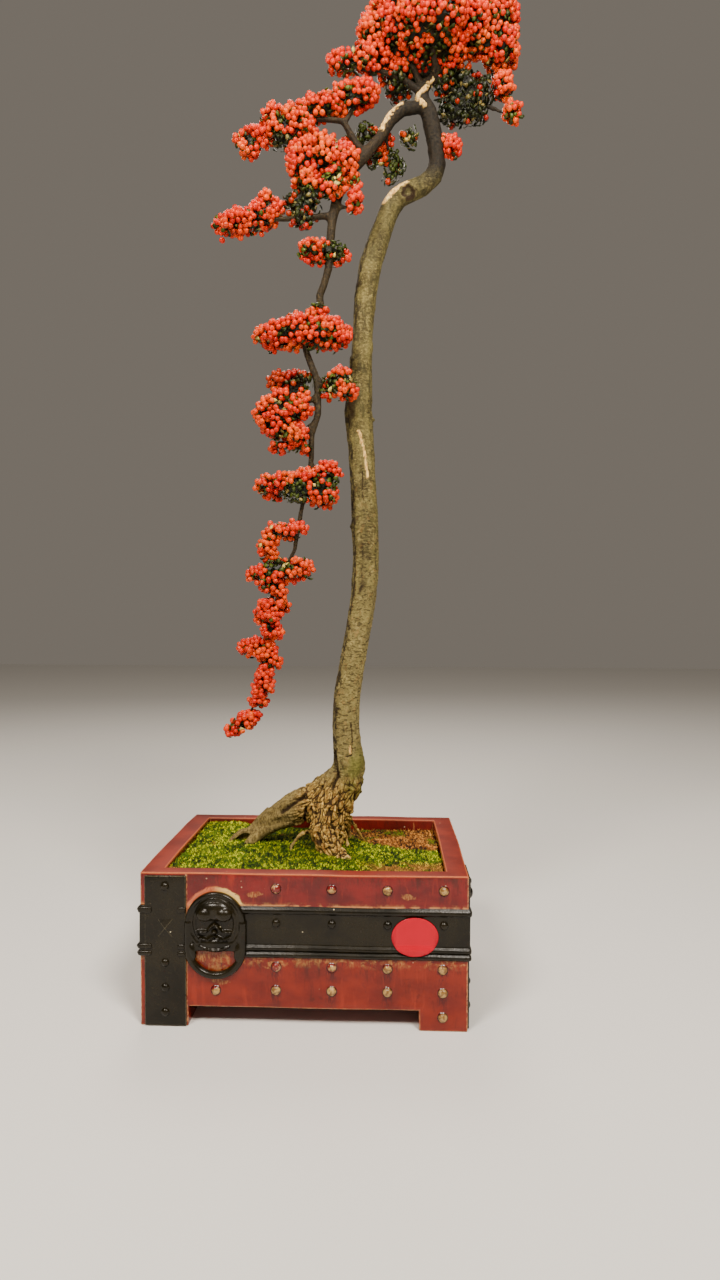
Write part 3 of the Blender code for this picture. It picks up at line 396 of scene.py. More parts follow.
# %% [markdown]
# The pot was put together from slabs of clay, so nothing on it is perfectly straight. Every
# clay piece goes through one function that bows the long walls and adds a slow unevenness. It
# works on the finished mesh, so that the iron-work in relief moves with the wall under it. The
# vector noise starts at a place that changes with the clock unless it gets a seed, so it gets
# one here, and the pot comes out the same each time.

# %% Hand-made unevenness of the clay
POT_HALF_WIDTH = 170 * MM
POT_HALF_DEPTH = 115.75 * MM
BOW = 1.2 * MM
UNEVEN = 0.7 * MM
UNEVEN_LENGTH = 70 * MM
SETTLED_HEIGHT = 12 * MM
NOISE_SEED = 5
noise.seed_set(NOISE_SEED)


def bow(outwards, along, height):
    """How far a wall bows out: most at its middle and its top, nothing at its ends."""
    return BOW * max(-1.0, min(1.0, outwards)) * (1 - min(1.0, along * along)) * height / POT_HEIGHT


def by_hand(obj):
    """Bow and unevenness for a clay piece; what stands on the table stays flat."""
    for vertex in obj.data.vertices:
        x, y, z = vertex.co.x - pot_x, vertex.co.y, vertex.co.z
        along_x, along_y = x / POT_HALF_WIDTH, y / POT_HALF_DEPTH
        sway = noise.noise_vector(Vector((x, y, z)) / UNEVEN_LENGTH) * UNEVEN
        x += bow(along_x, along_y, z) + sway.x
        y += bow(along_y, along_x, z) + sway.y
        z += sway.z * min(1.0, z / SETTLED_HEIGHT)
        vertex.co = (min(max(x + pot_x, pot_low.x), pot_high.x),
                     min(max(y, pot_low.y), pot_high.y), max(z, 0.0))
    obj.data.update()


def four_faces():
    """For each outer face: half its length, and the matrix that takes the front face to it."""
    faces = []
    for turn in range(4):
        half, offset = POT_HALF_WIDTH, POT_HALF_DEPTH
        if turn % 2:
            half, offset = offset, half
        place = Matrix.Translation((pot_x, 0, 0)) @ Matrix.Rotation(math.radians(90) * turn, 4, "Z")
        faces.append((half, place @ Matrix.Translation((0, -offset, 0))))
    return faces


print("four faces, the front one", 2 * POT_HALF_WIDTH, "m long")

# %% [markdown]
# The pot's body is one box. Its top face is inset to the rim, stretched to the right wall
# thickness and extruded down to the floor, which makes the hollow. The arches between the feet
# and the drainage holes are cut with Boolean modifiers, because they run right through.
# Then come the bevels: glaze runs off an edge while it melts, so every edge is soft and pale.
# The bevel's own faces are marked by its material index, and the mark is kept for the shader.
# Last, the walls are sliced by level and upright planes, so that they have points that can bow.

# %% Pot body
SIDE_WALL = 23 * MM
LONG_WALL = 16 * MM
FLOOR_TOP = 34 * MM
FOOT_HEIGHT = 21 * MM
FOOT_WIDTH = 50 * MM
DRAIN_RADIUS = 11 * MM
DRAIN_SPACING = 140 * MM
BODY_BEVEL = 1.4 * MM
BODY_STEP = 12 * MM
EDGE_ANGLE = 35


def mark_bevels(obj, strength=1.0):
    """Keep which faces a bevel made, as a number at each face corner, and drop its index."""
    marks = obj.data.attributes.new("edge", "FLOAT", "CORNER")
    for polygon in obj.data.polygons:
        for loop in polygon.loop_indices:
            marks.data[loop].value = strength * (polygon.material_index == 1)
    obj.data.polygons.foreach_set("material_index", [0] * len(obj.data.polygons))


def soften(obj, width, segments=3, angle=EDGE_ANGLE):
    """Round the edges, with the new faces in the second material place."""
    while len(obj.data.materials) < 2:
        obj.data.materials.append(None)
    apply(obj, "BEVEL", width=width, segments=segments, limit_method="ANGLE",
          angle_limit=math.radians(angle), material=1, use_clamp_overlap=True)


def slice_up(obj, axis, step):
    """Cut a mesh along evenly spaced planes, so that it can bend."""
    low = min(vertex.co[axis] for vertex in obj.data.vertices)
    high = max(vertex.co[axis] for vertex in obj.data.vertices)
    count = int((high - low) / step)
    normal = [0, 0, 0]
    normal[axis] = 1
    only(obj)
    bpy.ops.object.mode_set(mode="EDIT")
    for index in range(1, count):
        bpy.ops.mesh.select_all(action="SELECT")
        place = [0, 0, 0]
        place[axis] = low + (high - low) * index / count
        bpy.ops.mesh.bisect(plane_co=place, plane_no=normal)
    bpy.ops.object.mode_set(mode="OBJECT")


body = block("pot_body", (pot_x - POT_HALF_WIDTH, -POT_HALF_DEPTH, 0),
             (pot_x + POT_HALF_WIDTH, POT_HALF_DEPTH, POT_HEIGHT))
edit_faces(body, lambda centre, normal: normal.z > 0.5)
bpy.ops.mesh.inset(thickness=LONG_WALL)
inner_share = (POT_HALF_WIDTH - SIDE_WALL) / (POT_HALF_WIDTH - LONG_WALL)
bpy.ops.transform.resize(value=(inner_share, 1, 1), center_override=(pot_x, 0, POT_HEIGHT))
bpy.ops.mesh.extrude_region_move(TRANSFORM_OT_translate={"value": (0, 0, FLOOR_TOP - POT_HEIGHT)})
bpy.ops.object.mode_set(mode="OBJECT")

past = FOOT_HEIGHT
arch_x, arch_y = POT_HALF_WIDTH - FOOT_WIDTH, POT_HALF_DEPTH - FOOT_WIDTH
cutters = [
    block("arch_front", (pot_x - arch_x, -POT_HALF_DEPTH - past, -past),
          (pot_x + arch_x, POT_HALF_DEPTH + past, FOOT_HEIGHT)),
    block("arch_side", (pot_x - POT_HALF_WIDTH - past, -arch_y, -past),
          (pot_x + POT_HALF_WIDTH + past, arch_y, FOOT_HEIGHT)),
]
for side in (-1, 1):
    drain = added(bpy.ops.mesh.primitive_cylinder_add, vertices=24, radius=DRAIN_RADIUS,
                  depth=4 * FLOOR_TOP, location=(pot_x + side * DRAIN_SPACING / 2, 0, 0))
    settle(drain)
    cutters.append(drain)
for cutter in cutters:
    apply(body, "BOOLEAN", object=cutter, operation="DIFFERENCE", solver="EXACT")
    bpy.data.objects.remove(cutter)
soften(body, BODY_BEVEL)
for axis in range(3):
    slice_up(body, axis, BODY_STEP)
mark_bevels(body)
print("pot body with", len(body.data.polygons), "faces")

# %% [markdown]
# Patterns on the walls, such as the streaks under each rivet, are laid out from the left end of
# each face. A UV map in metres gives the shader just that: across the face, and up. Each face of
# the mesh belongs to the wall that it looks away from.

# %% Face coordinates for the pot
def face_map(obj):
    """UV map: metres from the left end of the outer face, and metres up."""
    layer = obj.data.uv_layers.new(name="face")
    for polygon in obj.data.polygons:
        normal = polygon.normal
        centre = polygon.center - Vector((pot_x, 0, 0))
        if abs(normal.z) > 0.8 or max(abs(normal.x), abs(normal.y)) < 0.5:
            side_on = abs(centre.x) / POT_HALF_WIDTH > abs(centre.y) / POT_HALF_DEPTH
        else:
            side_on = abs(normal.x) > abs(normal.y)
        for loop in polygon.loop_indices:
            co = obj.data.vertices[obj.data.loops[loop].vertex_index].co
            if side_on:
                across = co.y * (1 if centre.x > 0 else -1) + POT_HALF_DEPTH
            else:
                across = (co.x - pot_x) * (1 if centre.y < 0 else -1) + POT_HALF_WIDTH
            layer.data[loop].uv = (across, co.z)


face_map(body)
print("face map on", body.name)

# %% [markdown]
# The iron-work is clay too, pressed on and glazed black: a strap at the left end of each face
# with a shallow four-sided stud, a moulded band with rounded ridges, and the ends of the ridges
# wrapped round the corner. The band's section could be a curve with a bevel, but points laid
# out by a function of height let the sticker read the same function later. So a filled circle's
# points are moved onto the section, and its face is extruded along the wall step by step.

# %% Straps, studs and bands
STRAP_START = 5 * MM
STRAP_WIDTH = 43.4 * MM
STRAP_BOTTOM = 1 * MM
STRAP_TOP = 158.5 * MM
STRAP_RELIEF = 2 * MM
STUD_HEIGHT = 104 * MM
STUD_SIZE = (26 * MM, 32 * MM, 1.4 * MM)
BAND_BOTTOM = 73.7 * MM
BAND_TOP = 127.7 * MM
BAND_RELIEF = 0.6 * MM
SUNK = 2 * MM
MASK_CENTRE = 79.3 * MM
BAND_START = 24.5 * MM
WRAP_LENGTH = 13 * MM
WRAP_RELIEF = 3.6 * MM
WRAP_ROUNDING = 2.0 * MM
RIDGE_END_LENGTH = 9 * MM
# Ridges of the band: middle height above the band's bottom, half width and how far it stands out
RIDGES = [(3.5 * MM, 3.4 * MM, 2.4 * MM),
          (10.8 * MM, 3.7 * MM, 2.8 * MM),
          (49.4 * MM, 4.2 * MM, 2.6 * MM)]
BAND_POINTS = 64
BAND_SHOULDER = 1.2 * MM
BAND_STEP = 6 * MM
STUD_BEVEL = 0.4 * MM


def band_stand(height):
    """How far the band stands out from the wall, at a height above its bottom."""
    tall = BAND_TOP - BAND_BOTTOM
    shoulder = min(1.0, min(height, tall - height) / BAND_SHOULDER)
    stand = BAND_RELIEF * math.sin(max(0.0, shoulder) * math.pi / 2)
    for middle, half, rise in RIDGES:
        off = abs(height - middle) / half
        if off < 1:
            stand += rise * math.cos(off * math.pi / 2) ** 1.3
    return stand


def band(half_length, name):
    """The moulded band, from under the mask's ring to the right end of the face."""
    obj = added(bpy.ops.mesh.primitive_circle_add, vertices=BAND_POINTS + 2, fill_type="NGON")
    obj.name = name
    start = -half_length + MASK_CENTRE + BAND_START
    for index, vertex in enumerate(obj.data.vertices):
        height = (BAND_TOP - BAND_BOTTOM) * (index - 1) / (BAND_POINTS - 1)
        if 1 <= index <= BAND_POINTS:
            vertex.co = (start, -band_stand(height), BAND_BOTTOM + height)
        else:
            vertex.co = (start, SUNK, BAND_BOTTOM if index == 0 else BAND_TOP)
    steps = round((half_length - start) / BAND_STEP)
    step = (half_length + BAND_RELIEF - start) / steps
    edit_faces(obj, lambda centre, normal: True)
    for _ in range(steps):
        bpy.ops.mesh.extrude_region_move(TRANSFORM_OT_translate={"value": (step, 0, 0)})
    bpy.ops.mesh.select_all(action="SELECT")
    bpy.ops.mesh.normals_make_consistent(inside=False)
    bpy.ops.object.mode_set(mode="OBJECT")
    return obj


def rounded_bar(name, low, high, width):
    """A bar with rounded edges and the bevel faces marked."""
    obj = block(name, low, high)
    soften(obj, width)
    return obj


def stud(x, z):
    """A shallow four-sided pyramid with soft edges."""
    width, height, rise = STUD_SIZE
    obj = added(bpy.ops.mesh.primitive_cone_add, vertices=4, radius1=math.sqrt(0.5), radius2=0.02,
                depth=1)
    obj.name = "stud"
    obj.data.transform(Matrix.Translation((0, 0, 0.5)))
    obj.data.transform(Matrix.Rotation(math.radians(45), 4, "Z"))
    obj.data.transform(Matrix.Diagonal((width, height, rise + STRAP_RELIEF / 2, 1)))
    obj.data.transform(Matrix.Rotation(math.radians(90), 4, "X"))
    obj.data.transform(Matrix.Translation((x, -STRAP_RELIEF / 2, z)))
    soften(obj, STUD_BEVEL, segments=2, angle=6)
    return obj


print("band stands out", round(band_stand(RIDGES[1][0]) / MM, 2), "mm at its ridge")

# %% [markdown]
# Each face has a beast mask that holds a ring, the door-knocker of an old chest. Modelling clay
# is pushed together from balls and rolls and smoothed with a wet finger, and a voxel Remesh does
# the same to overlapping shapes: a plate with a rolled border and a finer one inside it, a
# forehead, brows, a nose, lips, whiskers, cheeks and a jaw become one skin with the ring. A
# Smooth modifier is the wet finger. It is modelled once, and each face of the pot gets a copy.

# %% Beast mask and ring
MASK_HEIGHT = 111.2 * MM
MASK_RADIUS = 31 * MM
MASK_PLATE = 4.0 * MM
BORDER_THICKNESS = 2.4 * MM
INNER_BORDER_RADIUS = 24.6 * MM
INNER_BORDER_THICKNESS = 1.9 * MM
INNER_BORDER_NARROW = 0.86
RING_HEIGHT = 83.9 * MM
RING_RADIUS = 28.4 * MM
RING_THICKNESS = 4.0 * MM
RING_STAND_OFF = 2.0 * MM
MASK_VOXEL = 0.82 * MM
BORDER_SINK = 1.2 * MM
# Features in millimetres: across, out and up from the plate's middle, three radii, and a turn
# in degrees in the plane of the face. Those with an across value are there on both sides.
MASK_FEATURES = {
    "forehead": (0, 4.2, 12.4, 17.4, 6.0, 9.8, 0),
    "brow": (9.6, 5.8, 9.4, 9.4, 6.4, 7.2, 0),
    "nose_bridge": (0, 5.2, -1.0, 1.8, 4.2, 2.0, 0),
    "nose_side": (4.2, 5.8, -4.0, 1.3, 3.8, 4.8, -45),
    "nose_tip": (0, 6.2, -8.6, 3.0, 3.6, 2.0, 0),
    "whisker": (13.2, 5.4, -8.4, 6.0, 3.6, 1.2, 0),
    "lip_middle": (4.0, 6.0, -14.6, 4.6, 3.8, 1.2, 24),
    "lip_side": (12, 5.6, -15.5, 5.0, 3.6, 1.2, -12),
    "jaw": (0, 3.2, -21, 19, 5.0, 5.4, 0),
    "jaw_middle": (0, 5.2, -26.8, 8.0, 4.0, 1.6, 0),
    "jaw_side": (11, 4.8, -24.8, 6.5, 4.0, 1.6, -20),
    "cheek": (23.6, 2.8, -30, 3.6, 4.0, 9, 14),
}
JAW_PLATE = ((-24.5, -4.2, -30.5), (24.5, 2, -12))
JAW_ROUNDING = 3 * MM


def pressed_ball(place, radii, turn):
    """A ball of clay squeezed to three radii and turned in the plane of the face."""
    obj = added(bpy.ops.mesh.primitive_uv_sphere_add, segments=24, ring_count=16, radius=1)
    obj.data.transform(Matrix.Diagonal((*radii, 1)))
    obj.data.transform(Matrix.Rotation(math.radians(turn), 4, "Y"))
    obj.data.transform(Matrix.Translation(place))
    return obj


def torus(place, radius, thickness):
    """A ring that lies against the wall."""
    obj = added(bpy.ops.mesh.primitive_torus_add, major_radius=radius, minor_radius=thickness,
                major_segments=64, minor_segments=16)
    obj.data.transform(Matrix.Rotation(math.radians(90), 4, "X"))
    obj.data.transform(Matrix.Translation(place))
    return obj


def beast_mask():
    """Plate, border, features and ring pressed into one skin, round x = 0."""
    plate = added(bpy.ops.mesh.primitive_cylinder_add, vertices=64, radius=MASK_RADIUS,
                  depth=MASK_PLATE + SUNK)
    plate.data.transform(Matrix.Rotation(math.radians(90), 4, "X"))
    plate.data.transform(Matrix.Translation((0, (SUNK - MASK_PLATE) / 2, MASK_HEIGHT)))
    inner = torus((0, -MASK_PLATE, MASK_HEIGHT), INNER_BORDER_RADIUS, INNER_BORDER_THICKNESS)
    inner.data.transform(Matrix.Diagonal((INNER_BORDER_NARROW, 1, 1, 1)))
    outer = torus((0, BORDER_SINK - MASK_PLATE, MASK_HEIGHT), MASK_RADIUS - BORDER_THICKNESS,
                  BORDER_THICKNESS)
    low, high = (Vector(corner) * MM + Vector((0, 0, MASK_HEIGHT)) for corner in JAW_PLATE)
    jaw_plate = rounded_bar("jaw_plate", low, high, JAW_ROUNDING)
    ring = torus((0, -RING_STAND_OFF, RING_HEIGHT), RING_RADIUS, RING_THICKNESS)
    edit_faces(ring, lambda centre, normal: centre.z > RING_HEIGHT)
    bpy.ops.mesh.delete(type="FACE")
    bpy.ops.mesh.select_mode(type="EDGE")
    bpy.ops.mesh.select_non_manifold()
    bpy.ops.mesh.extrude_region_move(TRANSFORM_OT_translate={"value": (0, 0, MASK_HEIGHT - RING_HEIGHT)})
    bpy.ops.mesh.fill()
    bpy.ops.object.mode_set(mode="OBJECT")
    pieces = [plate, inner, ring, jaw_plate, outer]
    for across, out, up, wide, deep, tall, turn in MASK_FEATURES.values():
        for side in ((-1, 1) if across else (1,)):
            place = (side * across * MM, -out * MM, MASK_HEIGHT + up * MM)
            pieces.append(pressed_ball(place, (wide * MM, deep * MM, tall * MM), side * turn))
    mask = join(pieces, "mask")
    apply(mask, "REMESH", mode="VOXEL", voxel_size=MASK_VOXEL, adaptivity=0.0)
    apply(mask, "SMOOTH", factor=0.5, iterations=3)
    edit_faces(mask, lambda centre, normal: centre.y > SUNK / 2)
    bpy.ops.mesh.delete(type="FACE")
    bpy.ops.object.mode_set(mode="OBJECT")
    mask.data.shade_smooth()
    return mask


mask = beast_mask()
print("mask with", len(mask.data.polygons), "faces")

# %% [markdown]
# Rivets sit in columns and rows on the red walls, the band and the straps. One rivet is modelled:
# half a ball, flattened, whose open edge is extruded outwards into a thin skirt, so that it seems
# to melt into the wall. A number on each corner tells the shader how high up the rivet it is,
# because glaze runs off the top and leaves it pale.

# %% Rivets
RIVET_RADIUS = 4.9 * MM
RIVET_RISE = 3.9 * MM
RIVET_SKIRT = 1.25
RIVET_SINK = 0.5 * MM
STRAP_RIVETS = (148 * MM, 67.7 * MM, 41.4 * MM, 15.6 * MM)
FIRST_COLUMN = 142 * MM
COLUMN_SPACING = 57.5 * MM
RIVET_ROWS = (146 * MM, 64.5 * MM, 40 * MM)
BAND_RIVET_ROW = 110.5 * MM
UNDER_RING_RIVET = 38.7 * MM
FOOT_RIVET = 14.7 * MM
SMALL_RIVET = 0.92
RIVET_CUT = 0.2 * MM
SKIRT_DROP = 0.3 * MM


def model_rivet():
    """A rivet at the origin, standing out towards -Y."""
    obj = added(bpy.ops.mesh.primitive_uv_sphere_add, segments=14, ring_count=10, radius=RIVET_RADIUS)
    only(obj)
    bpy.ops.object.mode_set(mode="EDIT")
    bpy.ops.mesh.select_all(action="SELECT")
    bpy.ops.mesh.bisect(plane_co=(0, 0, RIVET_CUT), plane_no=(0, 0, -1), clear_outer=True)
    bpy.ops.mesh.select_mode(type="EDGE")
    bpy.ops.mesh.select_all(action="DESELECT")
    bpy.ops.mesh.select_non_manifold()
    bpy.ops.mesh.extrude_region_move(TRANSFORM_OT_translate={"value": (0, 0, -SKIRT_DROP)})
    bpy.ops.transform.resize(value=(RIVET_SKIRT, RIVET_SKIRT, 1), center_override=(0, 0, 0))
    bpy.ops.mesh.extrude_region_move(TRANSFORM_OT_translate={"value": (0, 0, -RIVET_SINK)})
    bpy.ops.object.mode_set(mode="OBJECT")
    marks = obj.data.attributes.new("top", "FLOAT", "POINT")
    for vertex, mark in zip(obj.data.vertices, marks.data):
        mark.value = max(0.0, vertex.co.z / RIVET_RADIUS)
    obj.data.transform(Matrix.Diagonal((1, 1, RIVET_RISE / RIVET_RADIUS, 1)))
    obj.data.transform(Matrix.Rotation(math.radians(90), 4, "X"))
    obj.data.shade_smooth()
    return obj


def copy_to(template, place, name):
    """A copy of a modelled piece with its own mesh, moved there."""
    obj = bpy.data.objects.new(name, template.data.copy())
    bpy.context.scene.collection.objects.link(obj)
    obj.data.transform(place)
    return obj


def rivet_places(half_length):
    """Where rivets stand on one face: across, up, how far out, and whether it is iron."""
    left = -half_length
    strap_middle = left + STRAP_START + STRAP_WIDTH / 2
    places = [(strap_middle, height, STRAP_RELIEF, True) for height in STRAP_RIVETS]
    column = left + FIRST_COLUMN
    while column < half_length - 3 * RIVET_RADIUS:
        places += [(column, height, 0.0, False) for height in RIVET_ROWS]
        places.append((column, BAND_RIVET_ROW, BAND_RELIEF, True))
        last = column
        column += COLUMN_SPACING
    places.append((left + MASK_CENTRE, UNDER_RING_RIVET, 0.0, False))
    places.append((last, FOOT_RIVET, 0.0, False))
    return places


def bareness(across, up, half_length):
    """The glaze ran off the lower rivets, and off those at the right, more than off the others."""
    return min(1.0, (across + half_length) / (2 * half_length) + (0.5 if up < RIVET_ROWS[1] else 0.0))


rivet = model_rivet()
print("rivet with", len(rivet.data.polygons), "faces,", len(rivet_places(POT_HALF_WIDTH)), "on the front")

# %% [markdown]
# Now the iron-work is laid out on the four faces. Each part is built on the front face, round
# x = 0, and the matrix of the face takes it there, so that a change is made once and not four
# times. Everything black is joined into one piece and the bare rivets on the red walls into
# another, because each has one finish.

# %% Lay out the iron-work
# How far the glaze has run off the edges of each part; on the stud the pale edge lines are a painted
# highlight along its ridges
EDGE_WEAR_AND_HIGHLIGHT = {"strap": 0.5, "stud": 0.35}
STRAP_ROUNDING = 0.9 * MM
CORNER_PAST = 0.3 * MM
CORNER_OVERLAP = 1 * MM
WRAP_HALF_SHARE = 0.8
CREASE_ANGLE = 38


def iron_bars(half_length):
    """Strap, stud, band, corner piece and the ends of the ridges of one face."""
    left = -half_length
    strap_low = left + STRAP_START
    strap_high = strap_low + STRAP_WIDTH
    strap = rounded_bar("strap", (strap_low, -STRAP_RELIEF, STRAP_BOTTOM),
                        (strap_high, SUNK, STRAP_TOP), STRAP_ROUNDING)
    slice_up(strap, 2, BODY_STEP)
    corner = rounded_bar("corner", (left - CORNER_PAST, -STRAP_RELIEF, BAND_BOTTOM),
                         (strap_low + CORNER_OVERLAP, SUNK, BAND_TOP), STRAP_ROUNDING)
    bars = [strap, stud((strap_low + strap_high) / 2, STUD_HEIGHT), band(half_length, "band"), corner]
    ends = ((left - STRAP_RELIEF, left + WRAP_LENGTH), (strap_high - RIDGE_END_LENGTH, strap_high))
    for middle, half, _ in RIDGES:
        bottom = BAND_BOTTOM + middle - WRAP_HALF_SHARE * half
        top = BAND_BOTTOM + middle + WRAP_HALF_SHARE * half
        for low, high in ends:
            bars.append(rounded_bar("wrap", (low, -WRAP_RELIEF, bottom), (high, SUNK, top),
                                    WRAP_ROUNDING))
    return bars


iron_pieces = []
red_rivets = []
for half_length, place in four_faces():
    left = -half_length
    parts = iron_bars(half_length)
    for part in parts:
        mark_bevels(part, EDGE_WEAR_AND_HIGHLIGHT.get(part.name.split(".")[0], 0.0))
        part.data.transform(place)
    at_mask = place @ Matrix.Translation((left + MASK_CENTRE, 0, 0))
    parts.append(copy_to(mask, at_mask, "mask_copy"))
    for x, z, stand, iron in rivet_places(half_length):
        at = place @ Matrix.Translation((x, -stand, z))
        if iron:
            at = at @ Matrix.Scale(SMALL_RIVET, 4)
        copied = copy_to(rivet, at, "rivet_copy")
        bare = copied.data.attributes.new("bare", "FLOAT", "POINT")
        bare.data.foreach_set("value", [bareness(x, z, half_length)] * len(copied.data.vertices))
        (parts if iron else red_rivets).append(copied)
    iron_pieces += parts
iron = join(iron_pieces, "pot_iron_work")
rivets = join(red_rivets, "pot_rivets")
bpy.data.objects.remove(mask)
bpy.data.objects.remove(rivet)
for clay in (body, iron, rivets):
    by_hand(clay)
for clay in (body, iron):
    only(clay)
    bpy.ops.object.shade_smooth_by_angle(angle=math.radians(CREASE_ANGLE))
face_map(iron)
face_map(rivets)
print("iron-work with", len(iron.data.polygons), "faces")

# %% [markdown]
# The red glaze is what gives the pot its life. It is a copper red that ran while it melted, so
# it has vertical streaks, a wine-dark zone above the band, brick red below, ochre patches where
# it lies thin, and runs under each rivet. A pale broken line along the top of the band is a painted
# highlight where the glaze pools. Each of those is one named pattern between 0 and 1, and the
# colour is mixed from them step by step.


# %% Red glaze
# Patches where ochre shows, on each face: metres from its left end, metres up, radius
OCHRE_BLOTS = [(119.9 * MM, 140 * MM, 5 * MM), (278.9 * MM, 139.6 * MM, 4.5 * MM),
               (140.8 * MM, 66 * MM, 6 * MM), (85 * MM, 71 * MM, 5 * MM), (83 * MM, 48 * MM, 5 * MM)]
# How far down the glaze runs under each row of rivets
ROW_REACH = (20 * MM, 24 * MM, 26 * MM)


def red_glaze():
    glaze = Finish("red_glaze", IOR=1.42)
    across, up, _ = glaze.axes(glaze.node("UVMap", {"uv_map": "face"}, {}))
    x, y, z = glaze.axes()
    edge = glaze.mark("edge")
    cloud = glaze.noise(40, 40, 26, 4)
    streak = glaze.noise(6, 6, 36, 4, 0.6, 0.5)
    fine = glaze.noise(1.6, 1.6, 5, 3, 0.6)
    patch = glaze.noise(11, 11, 9, 4, 0.6, 0.6)
    rim = up.between(158.8 * MM, 160.2 * MM)
    upper = up.between(BAND_TOP - 6 * MM, BAND_TOP)
    half_inside_x, half_inside_y = POT_HALF_WIDTH - SIDE_WALL, POT_HALF_DEPTH - LONG_WALL
    inside = (x - pot_x).size().between(half_inside_x + 2 * MM, half_inside_x - 1 * MM)
    inside = inside * y.size().between(half_inside_y + 2 * MM, half_inside_y - 1 * MM)

    brick = glaze.mix(cloud.between(0.35, 0.65), ink(96, 17, 5), ink(122, 29, 8))
    wine = glaze.mix(cloud.between(0.35, 0.65), ink(82, 8, 10), ink(112, 18, 16))
    colour = glaze.mix(upper * (1 - rim), brick, wine)
    colour = glaze.mix(streak.between(0.56, 0.74) * 0.4, colour, ink(52, 10, 6))
    colour = glaze.mix(streak.between(0.44, 0.28) * 0.4, colour, ink(152, 44, 18))
    colour = glaze.mix(patch.between(0.62, 0.7) * 0.4, colour, ink(60, 16, 12))
    top_runs = up.between(142 * MM, 158 * MM) * (1 - rim) * (streak * 0.5 + fine * 0.5).between(0.46, 0.62)
    colour = glaze.mix(top_runs * 0.55, colour, ink(58, 22, 10))
    under_runs = up.between(BAND_BOTTOM - 24 * MM, BAND_BOTTOM - 4 * MM) * (1 - upper)
    under_runs = under_runs * (streak * 0.4 + fine * 0.6).between(0.48, 0.62)
    colour = glaze.mix(under_runs * 0.6, colour, ink(50, 14, 12))

    # The column of rivets nearest to a point, and how far the point is from it
    repeat = (across - FIRST_COLUMN) / COLUMN_SPACING
    offset = (repeat - repeat.whole()) * COLUMN_SPACING + (fine - 0.5) * (3 * MM)
    in_columns = across.between(FIRST_COLUMN - 20 * MM, FIRST_COLUMN - 12 * MM)
    near_column = offset.size().between(8 * MM, 2 * MM) * in_columns
    row_runs = None
    for row, reach in zip(RIVET_ROWS, ROW_REACH):
        run = up.between(row - reach, row - 2 * MM) * up.between(row + 4 * MM, row)
        row_runs = run if row_runs is None else row_runs.most(run)
    runs = near_column * row_runs * fine.between(0.38, 0.6)
    colour = glaze.mix(runs * 0.8, colour, ink(50, 10, 16))

    # Ochre where the glaze lies thin: along the band's top, under its bottom and round the mask. Along the
    # band's top it is partly a painted highlight where the glaze pools.
    over_band = up.between(BAND_TOP + 5 * MM, BAND_TOP + 0.5 * MM)
    over_band = over_band * up.between(BAND_TOP - 3 * MM, BAND_TOP)
    under_band = up.between(BAND_BOTTOM - 12 * MM, BAND_BOTTOM - 2 * MM)
    under_band = under_band * up.between(BAND_BOTTOM + 2 * MM, BAND_BOTTOM)
    mask_x = (across - MASK_CENTRE) / MASK_RADIUS
    mask_z = (up - MASK_HEIGHT) / MASK_RADIUS
    from_mask = mask_x.span(mask_z)
    arc = (from_mask + (patch - 0.5) * 0.3).between(1.17, 1.1) * upper * (1 - rim)
    in_ring = from_mask.between(1.0, 1.06) * up.between(BAND_BOTTOM + 9 * MM, BAND_BOTTOM + 3 * MM)
    in_ring = in_ring * (across - MASK_CENTRE).size().between(25 * MM, 20 * MM)
    in_ring = in_ring * up.between(56 * MM, 60 * MM)
    strap_end = STRAP_START + STRAP_WIDTH
    by_strap = (across - strap_end).size().between(1.6 * MM, 0.5 * MM)
    thin = (over_band * 0.55).most(under_band * 0.5).most(in_ring * 0.35)
    broken = thin * patch.between(0.46, 0.62)
    for blot_x, blot_z, radius in OCHRE_BLOTS:
        blot = ((across - blot_x) / (1.6 * radius)).span((up - blot_z) / (0.7 * radius))
        broken = broken.most((blot * blot + (patch - 0.5) * 8).between(1.0, 0.2) * 0.45)
    ochre = glaze.mix(fine.between(0.4, 0.6), ink(126, 62, 24), ink(190, 140, 72))
    colour = glaze.mix(broken, colour, ochre)
    right_of_mask = (across - MASK_CENTRE).between(-6 * MM, 12 * MM)
    arc_tint = glaze.mix(right_of_mask, ink(190, 98, 62), ink(232, 192, 112))
    colour = glaze.mix(arc * patch.between(0.3, 0.44), colour, arc_tint)
    # The pale line just above the band is a painted highlight where the glaze pools
    line = up.between(BAND_TOP + 2.2 * MM, BAND_TOP + 1.0 * MM) * upper * patch.between(0.4, 0.52)
    edges = (edge * fine.between(0.36, 0.6)).most(line).most(by_strap * fine.between(0.4, 0.6))
    colour = glaze.mix(edges * 0.85, colour, ink(184, 122, 72))

    matte_red = glaze.mix(cloud.between(0.35, 0.65), ink(104, 25, 12), ink(128, 37, 18))
    colour = glaze.mix(rim * (1 - edge), colour, matte_red)
    colour = glaze.mix(rim * edge * 0.8, colour, ink(176, 84, 40))
    colour = glaze.mix(inside * 0.85, colour, ink(90, 36, 32))
    bare = up.between(1.2 * MM, 0.4 * MM)
    colour = glaze.mix(bare, colour, ink(150, 112, 82))
    pits = glaze.cells(15, 15, 15).between(0.07, 0.045) * glaze.noise(30, 30, 30).between(0.46, 0.54)
    colour = glaze.mix(pits * 0.7, colour, ink(206, 176, 140))
    rough = (0.1 + cloud * 0.14 + broken * 0.2 + rim * 0.34 + bare * 0.4).least(1.0)
    glaze.wear(Base_Color=colour, Roughness=rough)
    glaze.bump(streak * 0.3 + patch * 0.45 + fine * 0.15 + cloud * 0.3, 0.8, 0.7)
    return glaze.material


keep_piece(body, ["pot"], red_glaze())
